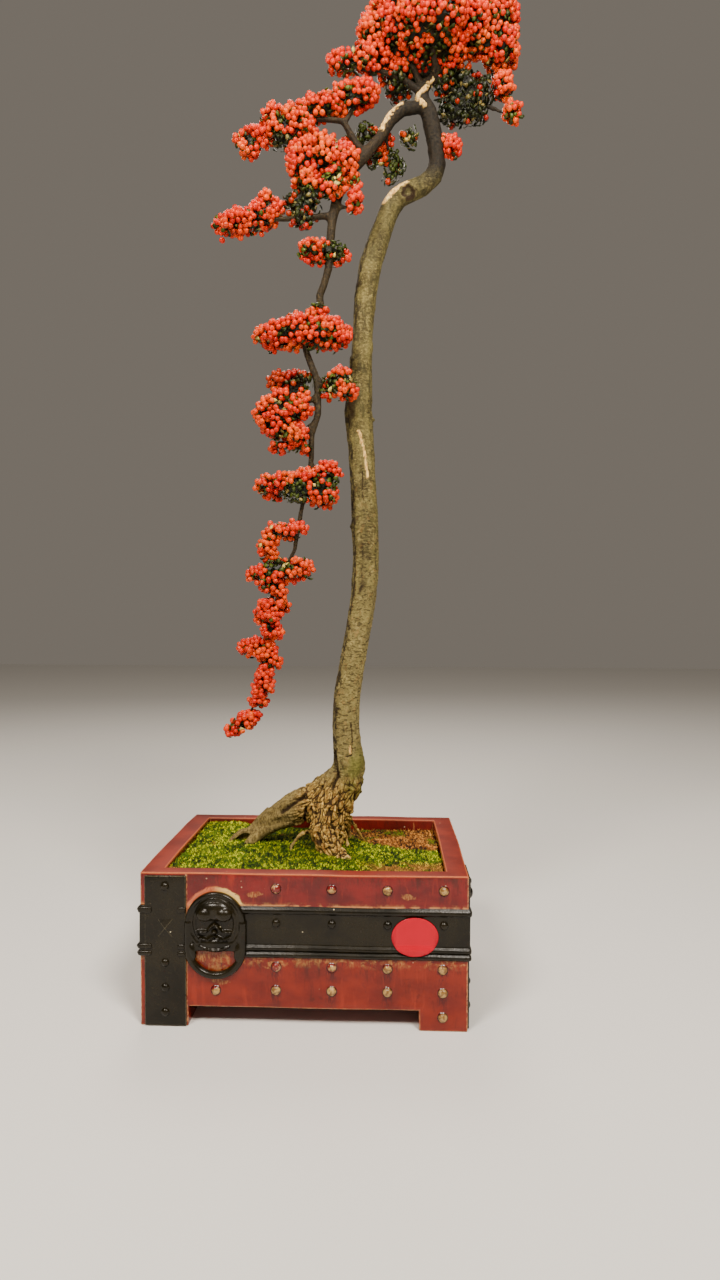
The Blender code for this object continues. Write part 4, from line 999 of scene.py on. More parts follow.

# %% [markdown]
# The rivets on the red walls have the same glaze, but it has run off their tops, so the mark for
# height goes from dark wine at their feet to pale ochre.


# %% Rivet glaze
def rivet_glaze():
    glaze = Finish("rivet_glaze", IOR=1.5, Roughness=0.14)
    top, bare_share = glaze.mark("top"), glaze.mark("bare")
    blotch = glaze.noise(4, 4, 4, 3)
    bare = (top * 0.6 + bare_share + (blotch - 0.5) * 0.9).between(0.95, 1.15)
    skirt = (top + (blotch - 0.5) * 0.3).between(0.34, 0.16)
    ochre = glaze.mix(blotch.between(0.4, 0.6), ink(112, 78, 36), ink(170, 136, 78))
    red = glaze.mix(blotch.between(0.52, 0.62), ink(106, 24, 22), ink(180, 138, 96))
    colour = glaze.mix(bare, red, ochre)
    colour = glaze.mix(skirt * 0.9, colour, ink(54, 12, 14))
    glaze.wear(Base_Color=colour)
    glaze.bump(blotch, 0.3, 0.5)
    return glaze.material


keep_piece(rivets, ["pot"], rivet_glaze())

# %% [markdown]
# The black glaze looks like old iron: olive black and satin, brown where it breaks over an edge,
# with a few crumbs that stuck to it in the kiln. The pale lines on the stud's ridges are a painted
# highlight.


# %% Black glaze
def black_glaze():
    glaze = Finish("black_glaze", IOR=1.33)
    edge = glaze.mark("edge")
    cloud = glaze.noise(26, 26, 26, 4)
    fine = glaze.noise(1.8, 1.8, 1.8, 3)
    colour = glaze.mix(cloud.between(0.35, 0.65), ink(14, 11, 3), ink(27, 22, 9))
    colour = glaze.mix(fine.between(0.56, 0.7) * 0.4, colour, ink(42, 35, 18))
    # Pale edges: glaze broken over the strap's edges, and a painted highlight on the stud's ridges
    colour = glaze.mix(edge * fine.between(0.36, 0.5) * 0.7, colour, ink(104, 96, 72))
    crumbs = glaze.cells(17, 17, 17).between(0.05, 0.03)
    colour = glaze.mix(crumbs, colour, ink(176, 168, 140))
    glaze.wear(Base_Color=colour, Roughness=0.18 + cloud * 0.14 + crumbs * 0.3)
    glaze.bump(fine * 0.2 + cloud * 0.8, 0.7, 0.7)
    return glaze.material


keep_piece(iron, ["pot"], black_glaze())

# %% [markdown]
# A blank oval sticker is stuck over the band's lower ridges. A filled circle is cut by level
# planes where the band rises and falls, and every point is laid on the band, but a sticker is
# stiff and bridges the grooves, so it follows the band's relief evened out. Solidify gives it
# its thickness.

# %% Sticker
LABEL_CENTRE = (115 * MM, 98.8 * MM)
LABEL_SIZE = (48 * MM, 40 * MM)
LABEL_REACH = 3 * MM
LABEL_TRIES = 9
LABEL_THICKNESS = 0.5 * MM
LABEL_GAP = 1.0 * MM
LABEL_STEPS = (6 * MM, 1.2 * MM)


def label_stand(height):
    """How far out stiff paper lies at a height: the band's relief, evened out within a reach."""
    shares = [2 * index / (LABEL_TRIES - 1) - 1 for index in range(LABEL_TRIES)]
    tries = [height - BAND_BOTTOM + LABEL_REACH * share for share in shares]
    return sum(max(band_stand(t), BAND_RELIEF) for t in tries) / LABEL_TRIES


label = added(bpy.ops.mesh.primitive_circle_add, vertices=72, radius=0.5, fill_type="NGON")
label.data.transform(Matrix.Diagonal((LABEL_SIZE[0], LABEL_SIZE[1], 1, 1)))
label.data.transform(Matrix.Rotation(math.radians(90), 4, "X"))
label.data.transform(Matrix.Translation((pot_x + LABEL_CENTRE[0], 0, LABEL_CENTRE[1])))
slice_up(label, 2, LABEL_STEPS[1])
slice_up(label, 0, LABEL_STEPS[0])
for vertex in label.data.vertices:
    vertex.co.y = -POT_HALF_DEPTH - label_stand(vertex.co.z) - LABEL_GAP
by_hand(label)
apply(label, "SOLIDIFY", thickness=LABEL_THICKNESS, offset=0)
label.data.shade_smooth()
label.name = "sticker"
sticker_paper = Finish("sticker_paper", Base_Color=ink(182, 0, 34), Roughness=0.3, IOR=1.3)
sheen = sticker_paper.noise(14, 14, 14, 2)
sticker_paper.wear(Base_Color=sticker_paper.mix(sheen, ink(178, 0, 30), ink(188, 0, 38)))
sticker_paper.bump(sheen, 0.2, 0.4)
keep_piece(label, ["label"], sticker_paper.material)

# %% [markdown]
# Soil and the screens over the drainage holes hardly show, but anyone who tips the pot sees
# them, so they keep their CAD shape and get a crumbly and a woven finish.


# %% Soil and screens
def soil_finish():
    soil = Finish("soil", Roughness=0.95)
    grain = soil.cells(3, 3, 3)
    tint = soil.noise(8, 8, 8, 4)
    dark = soil.mix(tint.between(0.35, 0.65), ink(46, 32, 22), ink(92, 66, 44))
    soil.wear(Base_Color=soil.mix(grain.between(0.1, 0.6), ink(116, 88, 60), dark))
    soil.bump(1 - grain, 1.5)
    return soil.material


def screen_finish():
    screen = Finish("screen_plastic", Roughness=0.55)
    weave = screen.node("TexWave", {"wave_type": "BANDS", "bands_direction": "DIAGONAL"},
                        {"Vector": screen.stretched(6, 6, 6), "Scale": 1.0}, "Fac")
    screen.wear(Base_Color=screen.mix(weave, ink(24, 40, 28), ink(38, 58, 42)))
    screen.bump(weave, 0.3)
    return screen.material


plastic = screen_finish()
for node_name, material in (("soil", soil_finish()), ("screen_left", plastic), ("screen_right", plastic)):
    nodes[node_name].data.materials.clear()
    nodes[node_name].data.materials.append(material)
print("soil and two screens finished")

# %% [markdown]
# The wood is a copy of the CAD wood, taken through the steps a carver would know: a voxel Remesh
# turns the flat-sided tubes into one even skin, a Smooth modifier rounds them, and then every
# point is moved along its normal. What makes this tree this tree are marks at measured places:
# knots and scars where branches were cut, bare wood, and fissures, with painted highlights and
# painted shade among them. They could be sculpted by hand, but a list of places can be read and changed.

# %% Knots, bare wood and fissures
WOOD_VOXEL = 1.9 * MM
GNARL_TOP = 262
GNARL_FADE = 42
FINE_ZONE = ((-34, -70, 148), (66, 40, 274))
# Lines along which the grain of the foot runs, in millimetres
GRAIN_LINES = [((33, 4, 250), (16, -4, 200), (12, -14, 176), (21, -24, 160), (44, -41, 137)),
               ((33, 4, 250), (2, 8, 208), (-28, 14, 196), (-50, 22, 183), (-92, 32, 154),
                (-118, 24, 132)),
               ((41, 4, 262), (33, 10, 204), (37, 32, 178), (39, 60, 134)),
               ((30, 8, 240), (14, 32, 186), (-6, 64, 138))]
# Scars, nubs and knots: x, y, z, radius, how high their ring stands, how deep their middle
# goes, and how dark they are
KNOTS = [(107, -8, 913, 8.5, 2.6, 2.6, 1.0), (31, 6, 596, 6, 2.4, -2.6, 0.2),
         (69, 2, 742, 5, 0.5, -3.0, 0.0), (40, -2, 715, 12, 1.6, 0.5, 0.1),
         (60, -8, 490, 7, 0.9, 0.8, 0.2), (43, 2, 533, 5, 0.4, -2.6, 0.4),
         (56, 14, 560, 9, 1.4, 1.0, 0.3), (66, 16, 842, 8, 1.6, 1.4, 0.4),
         (67, 2, 657, 3, 0.0, -3.4, 0.3), (61, 2, 270, 5, 0.0, -5.0, 0.0),
         (56, 0, 246, 9, 0.0, -2.0, 0.0)]
# The next lines are places on the skin as seen from the front: x and z in millimetres.
# Cut and broken wood, cream coloured; the cream bands on the upper left of the limb and beside the
# top knot are a painted highlight. Each is a line, its half width, how far it stands out, and the way that
# it faces
BARE_AND_LIT_LINES = [(((76, 978), (80, 987), (85, 998), (92, 1006), (98, 1011)), 3.2, 0.5, (-0.7, -0.5, 0.6)),
              (((135, 1043), (128, 1035), (119, 1028), (115, 1023), (119, 1017), (125, 1012)),
               2.8, 1.8, (-0.3, -1, 0.2)),
              (((105, 925), (96, 922), (88, 915), (79, 906)), 3.2, 0.2, (-0.5, -0.5, 0.7)),
              (((52, 641), (58, 619), (62, 589)), 1.5, 0.2, (0, -1, 0)),
              (((40, 156), (44, 153)), 4.2, 0.0, (0.3, -0.8, 0.5)),
              (((43.5, 276), (43.5, 268)), 1.3, 0.4, (0, -1, 0)),
              (((31, 599), (31, 592)), 2.2, 0.0, (-0.6, -0.8, 0))]
# Fissures, and painted shade: the shadow between the left root and the front root, and the shade on the
# bulge at the trunk's left. Each is a line, its half width, its depth and how dark it is
FISSURES_AND_SHADE = [(((22.6, 268), (25.7, 252), (28.3, 241), (21.1, 229)), 2.6, 5.5, 1.0),
            (((-14, 216), (-29, 204), (-40, 195)), 2.6, 4.5, 0.9),
            (((44, 303), (46, 286), (45, 266), (38, 265)), 0.9, 1.2, 1.0),
            (((-9, 203), (-11, 190), (-10, 180), (-7, 172)), 2.0, 4.0, 1.0),
            (((10, 230), (4, 214), (2, 200)), 1.6, 2.6, 0.8),
            (((20, 206), (24, 190), (30, 172)), 1.6, 3.4, 0.9),
            (((32, 226), (30, 208), (33, 196)), 1.4, 2.4, 0.8),
            (((38, 686), (42, 672), (44, 659)), 6.0, 0.0, 0.75),
            (((55.5, 596), (57, 560)), 0.9, 1.0, 0.9)]
# Roots that the remesh adds to the CAD wood: places in millimetres and a radius at each
MORE_ROOTS = [((34, -38, 158, 7.5), (39, -43, 155, 6.2), (43, -49, 153, 4.8)),
              ((-8, 8, 192, 10), (-30, 10, 184, 9), (-47, 14, 177, 8), (-64, 18, 168, 8),
               (-80, 12, 154, 6)),
              ((-66, 24, 172, 4.4), (-78, 22, 168, 3.4), (-92, 24, 166, 3.0),
               (-104, 26, 155, 2.8), (-110, 27, 146, 2.8)),
              ((30, 12, 192, 4.2), (36, 13, 165, 3.4), (41, 14, 146, 3.0)),
              ((27, -18, 180, 2.8), (32, -20, 166, 2.4), (37, -20, 150, 2.4))]
print(len(KNOTS), "knots,", len(BARE_AND_LIT_LINES), "bare places,", len(FISSURES_AND_SHADE), "fissures")

# %% [markdown]
# The foot of the tree is gnarled: old wood that cracked into lumps, drawn out along the grain,
# with dark fissures between them. A cell pattern gives the lumps and a noise folded at zero
# gives the longer splits. To draw a pattern out along the grain, its point is pressed together
# in the direction in which the nearest grain line runs.


# %% Relief of the wood
def smoothstep(value, low, high):
    """0 below low, 1 above high and smooth in between."""
    share = min(1.0, max(0.0, (value - low) / (high - low)))
    return share * share * (3 - 2 * share)


def nearest_on(line, point):
    """Distance from a point to a line of straight stretches, and the way that the line runs there."""
    best, way = None, None
    for first, second in zip(line, line[1:]):
        first, run = Vector(first), Vector(second) - Vector(first)
        share = min(1.0, max(0.0, (point - first).dot(run) / run.length_squared))
        distance = (point - first - run * share).length
        if best is None or distance < best:
            best, way = distance, run.normalized()
    return best, way


def drawn_out(point, way, times):
    """A point pressed together along the grain, so that a pattern read there is drawn out."""
    return point - way * (point.dot(way) * (1 - 1 / times))


def lump(place):
    """Cracked old bark: how high a point stands on its lump, and how deep it lies in a crack."""
    distances, _ = noise.voronoi(place)
    gap = distances[1] - distances[0]
    return smoothstep(gap, 0.0, 0.55), 1 - smoothstep(gap, 0.0, 0.2)


def foot_relief(point):
    """Relief of the foot in millimetres, and how deep in a crack the point lies."""
    way = min((nearest_on(line, point) for line in GRAIN_LINES), key=lambda found: found[0])[1]
    bent = point + noise.noise_vector(point / 14) * 3
    strand = noise.noise(drawn_out(bent, way, 6.0) / 7)
    split = 1 - min(1.0, 5 * abs(noise.noise(drawn_out(bent, way, 4.0) / 9)))
    height, crack = lump(drawn_out(bent, way, 2.3) / 5.8)
    fine_height, fine_crack = lump(drawn_out(bent, way, 1.6) / 3.2)
    lumpy = smoothstep(point.x, -34, -4) * smoothstep(point.z, 138, 150)
    relief = 1.8 * strand - 1.6 * split * (0.4 + 0.6 * lumpy)
    relief += lumpy * (3.0 * (height - 0.5) + 0.5 * (fine_height - 0.5))
    broken = lumpy * max(crack, 0.35 * fine_crack)
    return relief, max(smoothstep(split, 0.5, 0.95) * (0.5 + 0.5 * lumpy), broken)


print("foot relief ready")

# %% [markdown]
# Old scars are rings: the wood round a cut branch swells up and the cut sinks in. So the relief
# of a knot depends only on the distance from its middle. Fissures and bare wood are drawn as
# lines, as seen from the front, and so are a few bands of painted highlight and patches of painted
# shade; a noise makes their edges ragged.


# %% Relief of scars, fissures and bare wood
def knot_relief(point):
    """Rings, hollows and nubs of old scars in millimetres, and how dark they are."""
    relief, dark = 0.0, 0.0
    for x, y, z, radius, rise, depth, darkness in KNOTS:
        away = (point - Vector((x, y, z))).length / radius
        if away < 1.8:
            away += 0.3 * noise.noise(point / 4)
            relief += rise * math.exp(-((away - 1.05) / 0.28) ** 2) - depth * math.exp(-(away / 0.6) ** 2)
            ring = math.exp(-((away - 0.75) / 0.22) ** 2) + math.exp(-(away / 0.3) ** 2)
            dark = max(dark, darkness * min(1.0, ring))
    return relief, dark


def from_front(line, point):
    """Distance to a line of x and z places, as seen from the front."""
    return nearest_on([(x, 0, z) for x, z in line], Vector((point.x, 0, point.z)))[0]


def fissure_and_shade_relief(point, normal):
    """Depth of the named fissures in millimetres, and how dark they are, with painted shade among them."""
    relief, dark = 0.0, 0.0
    if normal.y > 0.2:
        return relief, dark
    for line, half_width, depth, darkness in FISSURES_AND_SHADE:
        distance = (from_front(line, point) + 0.8 * noise.noise(point / 2.4)) / half_width
        if distance < 2.5:
            share = math.exp(-distance * distance)
            relief, dark = relief - depth * share, max(dark, darkness * share)
    return relief, dark


def bare_and_lit_wood(point, normal):
    """How pale the wood is, from bare wood and from painted highlight, with a ragged edge, and how far it
    stands out in millimetres.
    """
    most, relief = 0.0, 0.0
    for line, half_width, rise, way in BARE_AND_LIT_LINES:
        distance = from_front(line, point) / half_width
        if distance < 2:
            ragged = 0.6 * noise.noise(point / 2.6) + 0.5 * noise.noise(point / 1.3)
            side = smoothstep(normal.dot(Vector(way).normalized()) + ragged, 0.3, 0.5)
            share = side * smoothstep(-distance + ragged, -1.0, -0.8)
            most, relief = max(most, share), max(relief, rise * share)
    return most, relief


print("relief of scars ready")

# %% [markdown]
# A few thin roots are added as chains of balls, which the Remesh melts into the wood. The foot is
# then subdivided once more, because its lumps are finer than the trunk's. Each point's move and
# its marks for the shader are worked out before any point moves, since moving one would tilt its
# neighbours' normals.


# %% Wood skin
def root_chain(line):
    """Balls close together along a line of places and radii."""
    balls = []
    for first, last in zip(line, line[1:]):
        first, last = Vector(first), Vector(last)
        steps = max(2, round((last - first).xyz.length / (0.5 * min(first.w, last.w))))
        for step in range(steps + 1):
            ball = first.lerp(last, step / steps)
            balls.append(added(bpy.ops.mesh.primitive_uv_sphere_add, segments=14, ring_count=9,
                               radius=ball.w * MM, location=spot(*ball.xyz)))
            settle(balls[-1])
    return balls


def wood_at(point, normal):
    """How far the skin moves out at a point, in millimetres, and the marks it gets there."""
    # Young wood: the cascading branch and the twigs in the crown; their dark colour is partly painted
    # shade under the sprays
    slim = smoothstep(-point.y, 12, 20) * smoothstep(point.z, 285, 300)
    thin = max(slim, smoothstep(point.z, 1036, 1050))
    foot = smoothstep(-point.z, -GNARL_TOP, GNARL_FADE - GNARL_TOP)
    swell = 1.1 * noise.noise(Vector((point.x / 15, point.y / 15, point.z / 80)))
    swell += 0.8 * noise.noise(point / 22) + 0.35 * noise.noise(point / 4.5)
    swell, crack = swell * (1 - foot) * (1 - 0.4 * thin), 0.0
    if foot > 0:
        way_out = (abs(point.x - 24) + max(0.0, point.y)) / 2
        slender = smoothstep(-point.z, -184, -166) * smoothstep(way_out, 8, 16)
        relief, crack = foot_relief(point)
        swell, crack = swell + foot * relief * (1 - 0.8 * slender), crack * foot * (1 - 0.8 * slender)
    knot_height, knot_dark = knot_relief(point)
    fissure_height, fissure_and_shade_dark = fissure_and_shade_relief(point, normal)
    bare_share, bare_rise = bare_and_lit_wood(point, normal)
    # Painted shade along the trunk's left side, with a ragged edge
    ragged = 0.7 * noise.noise(Vector((point.x, point.y, point.z / 3)) / 6)
    left_side = smoothstep(-normal.x + ragged, 0.35, 0.85)
    marks = {"young": thin, "crack": max(crack, knot_dark, fissure_and_shade_dark), "bare": bare_share,
             "shade": left_side * (1 - foot)}
    return swell + knot_height + fissure_height + bare_rise, marks


wood = copy_of("wood", "tree_wood")
wood = join([wood] + [ball for line in MORE_ROOTS for ball in root_chain(line)], "tree_wood")
apply(wood, "REMESH", mode="VOXEL", voxel_size=WOOD_VOXEL, adaptivity=0.0)
apply(wood, "SMOOTH", factor=0.5, iterations=6)
fine_low, fine_high = (spot(*corner) for corner in FINE_ZONE)
edit_faces(wood, lambda centre, normal: all(a < b < c for a, b, c in zip(fine_low, centre, fine_high)))
bpy.ops.mesh.subdivide(number_cuts=1, smoothness=0.5)
bpy.ops.object.mode_set(mode="OBJECT")
origin = spot(0, 0, 0)
found = [wood_at((vertex.co - origin) / MM, vertex.normal) for vertex in wood.data.vertices]
moves = [vertex.normal * (out * MM) for vertex, (out, _) in zip(wood.data.vertices, found)]
for vertex, move in zip(wood.data.vertices, moves):
    vertex.co += move
for mark in ("young", "crack", "bare", "shade"):
    values = [marks[mark] for _, marks in found]
    wood.data.attributes.new(mark, "FLOAT", "POINT").data.foreach_set("value", values)
wood.data.shade_smooth()
print("wood with", len(wood.data.polygons), "faces")

# %% [markdown]
# Bark is built up as a painter would, from the broad to the fine. The trunk is olive tan, paler
# low down and dark under the crown, a painted shade that is darkest on the loop, with short level
# marks, the pores of young bark, and a dark left edge, which is painted shade too. The cascading
# branch and the crown's twigs are darker, as young bark and as painted shade under the sprays. The
# foot is ochre on its lumps and almost black in its cracks, grey on the long root, with a green
# bloom on the swelling above it. Bare wood is cream, and cream bands along upper left edges are a
# painted highlight. Cracks and bare wood follow marks that the mesh carries, so colour and relief
# agree, and so do the painted shade and highlights.


# %% Bark
def bark_finish():
    bark = Finish("bark", IOR=1.3)
    x, y, z = bark.axes()
    young, crack, bare, shade = (bark.mark(name) for name in ("young", "crack", "bare", "shade"))
    height = z / MM
    along = (x - pot_x) / MM
    cloud = bark.noise(16, 16, 26, 4)
    grain = bark.noise(2.2, 2.2, 5, 4, 0.6)
    fine = bark.noise(1.2, 1.2, 1.2, 3)
    mottle = bark.noise(3.2, 3.2, 2.4, 4, 0.7)
    flakes = bark.noise(7, 7, 9, 4, 0.6, 0.8)
    scales = bark.noise(5.4, 5.4, 2.0, 3, 0.6, 0.6)
    blotch = bark.noise(6, 6, 9, 3, 0.6)
    low_down = height.between(720, 400)
    foot = height.between(250, 212)
    loop = height.between(918, 948)
    trunk = bark.mix(cloud.between(0.38, 0.62), ink(67, 58, 27), ink(98, 89, 47))
    trunk = bark.mix(mottle.between(0.46, 0.64) * 0.6, trunk, ink(138, 127, 77))
    trunk = bark.mix(mottle.between(0.44, 0.34) * 0.45, trunk, ink(56, 46, 19))
    trunk = bark.mix(flakes.between(0.55, 0.66) * 0.45, trunk, ink(70, 68, 28))
    trunk = bark.mix(blotch.between(0.56, 0.66) * low_down * 0.5, trunk, ink(128, 92, 44))
    pale_low = flakes.between(0.46, 0.34) * 0.4 + height.between(540, 400) * 0.3
    trunk = bark.mix(low_down * pale_low, trunk, ink(158, 142, 88))
    trunk = bark.mix(height.between(800, 870) * 0.4, trunk, ink(44, 40, 22))
    scale_marks = (scales + low_down * 0.06).between(0.58, 0.68)
    trunk = bark.mix(scale_marks * 0.7, trunk, ink(42, 31, 11))
    smooth_dark = bark.noise(9, 9, 22, 3, 0.6).between(0.52, 0.62) * height.between(520, 700)
    trunk = bark.mix(smooth_dark * 0.55, trunk, ink(46, 42, 20))
    # Painted shade: the loop under the crown is almost black
    loop_shade = bark.mix(mottle.between(0.35, 0.65), ink(12, 9, 4), ink(34, 27, 14))
    trunk = bark.mix(loop, trunk, loop_shade)
    # Painted shade along the trunk's left edge, broken into blotches
    edge = shade * (blotch.between(0.44, 0.58) * 0.85 + 0.15)
    trunk = bark.mix(edge * 0.9, trunk, ink(30, 20, 7))
    # Young wood is dark; its near-black tone is partly painted shade under the sprays
    twig = bark.mix(mottle.between(0.34, 0.66), ink(18, 13, 6), ink(46, 35, 18))
    twig = bark.mix(grain.between(0.54, 0.7) * 0.5, twig, ink(82, 68, 40))
    colour = bark.mix(young * 0.95, trunk, twig)
    old = bark.mix(flakes.between(0.4, 0.6), ink(124, 86, 34), ink(186, 150, 74))
    old = bark.mix(mottle.between(0.5, 0.66) * 0.7, old, ink(232, 200, 114))
    grey = along.between(0, -30)
    grey_tint = bark.mix(grain.between(0.4, 0.6), ink(68, 60, 32), ink(130, 116, 72))
    old = bark.mix(grey * 0.85, old, grey_tint)
    colour = bark.mix(foot, colour, old)
    green = height.between(290, 252) * height.between(196, 222) * along.between(28, 48)
    bloom = bark.mix(mottle, ink(60, 62, 12), ink(104, 104, 34))
    colour = bark.mix(green * 0.75 * cloud.between(0.3, 0.5), colour, bloom)
    # Dark in cracks, knots and fissures, and where the fissure table paints shade and shadow
    colour = bark.mix(crack.between(0.15, 0.85) * 0.94, colour, ink(36, 21, 7))
    # Cream for bare wood, and for the painted highlights along upper left edges
    pale = bark.mix(grain.between(0.35, 0.65), ink(176, 130, 66), ink(232, 198, 122))
    colour = bark.mix(bare, colour, pale)
    bark.wear(Base_Color=colour, Roughness=(0.6 + fine * 0.3 + crack * 0.1).least(1.0))
    relief = grain * 0.2 + mottle * 0.35 + flakes * 0.2 + fine * 0.15 - scale_marks * 0.3
    bark.bump(relief, 1.2, 1.0)
    return bark.material


bark_material = bark_finish()
keep_piece(wood, ["wood"], bark_material)

# %% [markdown]
# Moss, berries and leaves are made in one way: a small model, copied thousands of times over a
# surface. Places are drawn at random, and one that falls too close to an earlier one is thrown
# away, which spreads them evenly. An object for each copy would be slow, so all the copies are
# worked out as arrays and written into one mesh, and each carries its own numbers for the shader.


# %% Scattering
def surface_spots(meshes, spacing, seed, tries=7.0, keep=None):
    """Random places on surfaces, none closer to another than the spacing: points and normals."""
    dice = np.random.default_rng(seed)
    corners = []
    for mesh in meshes:
        mesh.calc_loop_triangles()
        points = np.zeros(len(mesh.vertices) * 3)
        mesh.vertices.foreach_get("co", points)
        triangles = np.zeros(len(mesh.loop_triangles) * 3, dtype=np.int32)
        mesh.loop_triangles.foreach_get("vertices", triangles)
        corners.append(points.reshape(-1, 3)[triangles].reshape(-1, 3, 3))
    corners = np.concatenate(corners)
    crosses = np.cross(corners[:, 1] - corners[:, 0], corners[:, 2] - corners[:, 0])
    doubled = np.linalg.norm(crosses, axis=1)
    count = int(doubled.sum() / 2 / spacing ** 2 * tries)
    picked = dice.choice(len(corners), size=count, p=doubled / doubled.sum())
    first, second = dice.random((2, count))
    folded = first + second > 1
    first[folded], second[folded] = 1 - first[folded], 1 - second[folded]
    chosen = corners[picked]
    places = (chosen[:, 0] + first[:, None] * (chosen[:, 1] - chosen[:, 0])
              + second[:, None] * (chosen[:, 2] - chosen[:, 0]))
    normals = crosses[picked] / doubled[picked][:, None]
    taken = {}
    result = []
    for place, normal in zip(places, normals):
        if keep is not None and not keep(place, normal):
            continue
        key = tuple(np.floor(place / spacing).astype(int))
        near = [other for dx in (-1, 0, 1) for dy in (-1, 0, 1) for dz in (-1, 0, 1)
                for other in taken.get((key[0] + dx, key[1] + dy, key[2] + dz), ())]
        if any(((place - other) ** 2).sum() < spacing ** 2 for other in near):
            continue
        taken.setdefault(key, []).append(place)
        result.append((Vector(place), Vector(normal)))
    return result


def scatter(name, template, placements):
    """One mesh from many copies of a template: matrix and marks for each copy."""
    source = template.data
    source.calc_loop_triangles()
    points = np.zeros(len(source.vertices) * 3)
    source.vertices.foreach_get("co", points)
    points = np.hstack([points.reshape(-1, 3), np.ones((len(source.vertices), 1))])
    triangles = np.zeros(len(source.loop_triangles) * 3, dtype=np.int32)
    source.loop_triangles.foreach_get("vertices", triangles)
    matrices = np.array([[list(row) for row in matrix] for matrix, _ in placements])
    copies = np.einsum("nij,vj->nvi", matrices, points)[:, :, :3]
    shifts = np.arange(len(placements))[:, None, None] * len(source.vertices)
    faces = triangles.reshape(-1, 3)[None] + shifts
    mesh = bpy.data.meshes.new(name)
    mesh.from_pydata(copies.reshape(-1, 3).tolist(), [], faces.reshape(-1, 3).tolist())
    names = placements[0][1].keys()
    for mark in names:
        layer = mesh.attributes.new(mark, "FLOAT", "POINT")
        values = np.repeat([marks[mark] for _, marks in placements], len(source.vertices))
        layer.data.foreach_set("value", values.astype(np.float32))
    for layer in source.attributes:
        if layer.data_type == "FLOAT" and layer.domain == "POINT" and layer.name not in names:
            values = np.zeros(len(source.vertices), dtype=np.float32)
            layer.data.foreach_get("value", values)
            copied = mesh.attributes.new(layer.name, "FLOAT", "POINT")
            copied.data.foreach_set("value", np.tile(values, len(placements)))
    mesh.shade_smooth()
    obj = bpy.data.objects.new(name, mesh)
    bpy.context.scene.collection.objects.link(obj)
    return obj


def facing(place, direction, roll, size):
    """Matrix that stands a template on a place, its +Z along a direction."""
    turn = direction.to_track_quat("Z", "Y").to_matrix().to_4x4()
    return Matrix.Translation(place) @ turn @ Matrix.Rotation(roll, 4, "Z") @ Matrix.Diagonal((*size, 1))


print("scatter tools ready")

# %% [markdown]
# Moss is a cushion of thousands of tiny shoots. The cushion is the upper part of the CAD moss,
# remeshed and roughened, and it hides the soil. Bump alone could give it a pile, but its rim
# would look bare from the side, so real shoots follow in the next cell.

# %% Moss cushions
MOSS_CUT = 146.5 * MM
MOSS_VOXEL = 1.9 * MM
MOSS_MOUND = (-118, 74, 150)
MOUND_RISE = 7 * MM
MOUND_REACH = 38
BACK_SUNK = 4 * MM


def moss_cushion(node_name, name, rise, seed):
    """The upper part of a CAD moss node, remeshed and roughened upwards."""
    obj = copy_of(node_name, name)
    only(obj)
    bpy.ops.object.mode_set(mode="EDIT")
    bpy.ops.mesh.select_all(action="SELECT")
    bpy.ops.mesh.bisect(plane_co=(0, 0, MOSS_CUT), plane_no=(0, 0, -1), clear_outer=True, use_fill=True)
    bpy.ops.object.mode_set(mode="OBJECT")
    apply(obj, "REMESH", mode="VOXEL", voxel_size=MOSS_VOXEL, adaptivity=0.0)
    for vertex in obj.data.vertices:
        up = max(0.0, vertex.normal.z)
        point = vertex.co / MM + Vector((seed, 0, 0))
        lumps = 1.4 * noise.noise(point / 24) + noise.noise(point / 9) + 0.7 * noise.noise(point / 3.6)
        corner = (vertex.co - spot(*MOSS_MOUND)).length / MM
        mound = math.exp(-(corner / MOUND_REACH) ** 2)
        sunk = smoothstep(point.y, 30, 70) * smoothstep(point.x - pot_x / MM - seed, -110, -80)
        vertex.co.z += up * (rise * lumps + MOUND_RISE * mound - BACK_SUNK * sunk)
    obj.data.shade_smooth()
    return obj


moss = moss_cushion("moss_green", "moss_green_cushion", 1.3 * MM, 0)
dry_moss = moss_cushion("moss_dry", "moss_dry_cushion", 1.5 * MM, 50)
print("moss cushions with", len(moss.data.polygons), "and", len(dry_moss.data.polygons), "faces")

# %% [markdown]
# A shoot of moss is three pointed leaves round a stem. One leaf is a cone with three sides and
# no floor, bent outwards; turning and joining three of them makes a shoot of nine triangles.
# Living moss is yellow green shoots, and the dry moss is brown crumbs with some shoots left.

# %% Moss shoots and crumbs
SHOOT_WIDTH = 1.2 * MM
SHOOT_LENGTH = 3.0 * MM
SHOOT_BEND = 38
SHOOT_LIFT = 0.6
STEEPEST_MOSS = 0.35
FULL_TURN = 6.28


def model_shoot():
    leaves = []
    for turn in range(3):
        leaf = added(bpy.ops.mesh.primitive_cone_add, vertices=3, radius1=SHOOT_WIDTH / 2, radius2=0,
                     depth=SHOOT_LENGTH, end_fill_type="NOTHING", location=(0, 0, 1.3 * MM))
        settle(leaf)
        leaf.data.transform(Matrix.Rotation(math.radians(SHOOT_BEND), 4, "Y"))
        leaf.data.transform(Matrix.Rotation(math.radians(120) * turn, 4, "Z"))
        leaves.append(leaf)
    return join(leaves, "shoot")


def model_crumb():
    crumb = added(bpy.ops.mesh.primitive_ico_sphere_add, subdivisions=1, radius=1.2 * MM)
    for vertex in crumb.data.vertices:
        vertex.co *= 1 + 0.5 * noise.noise(vertex.co * 900)
    return crumb


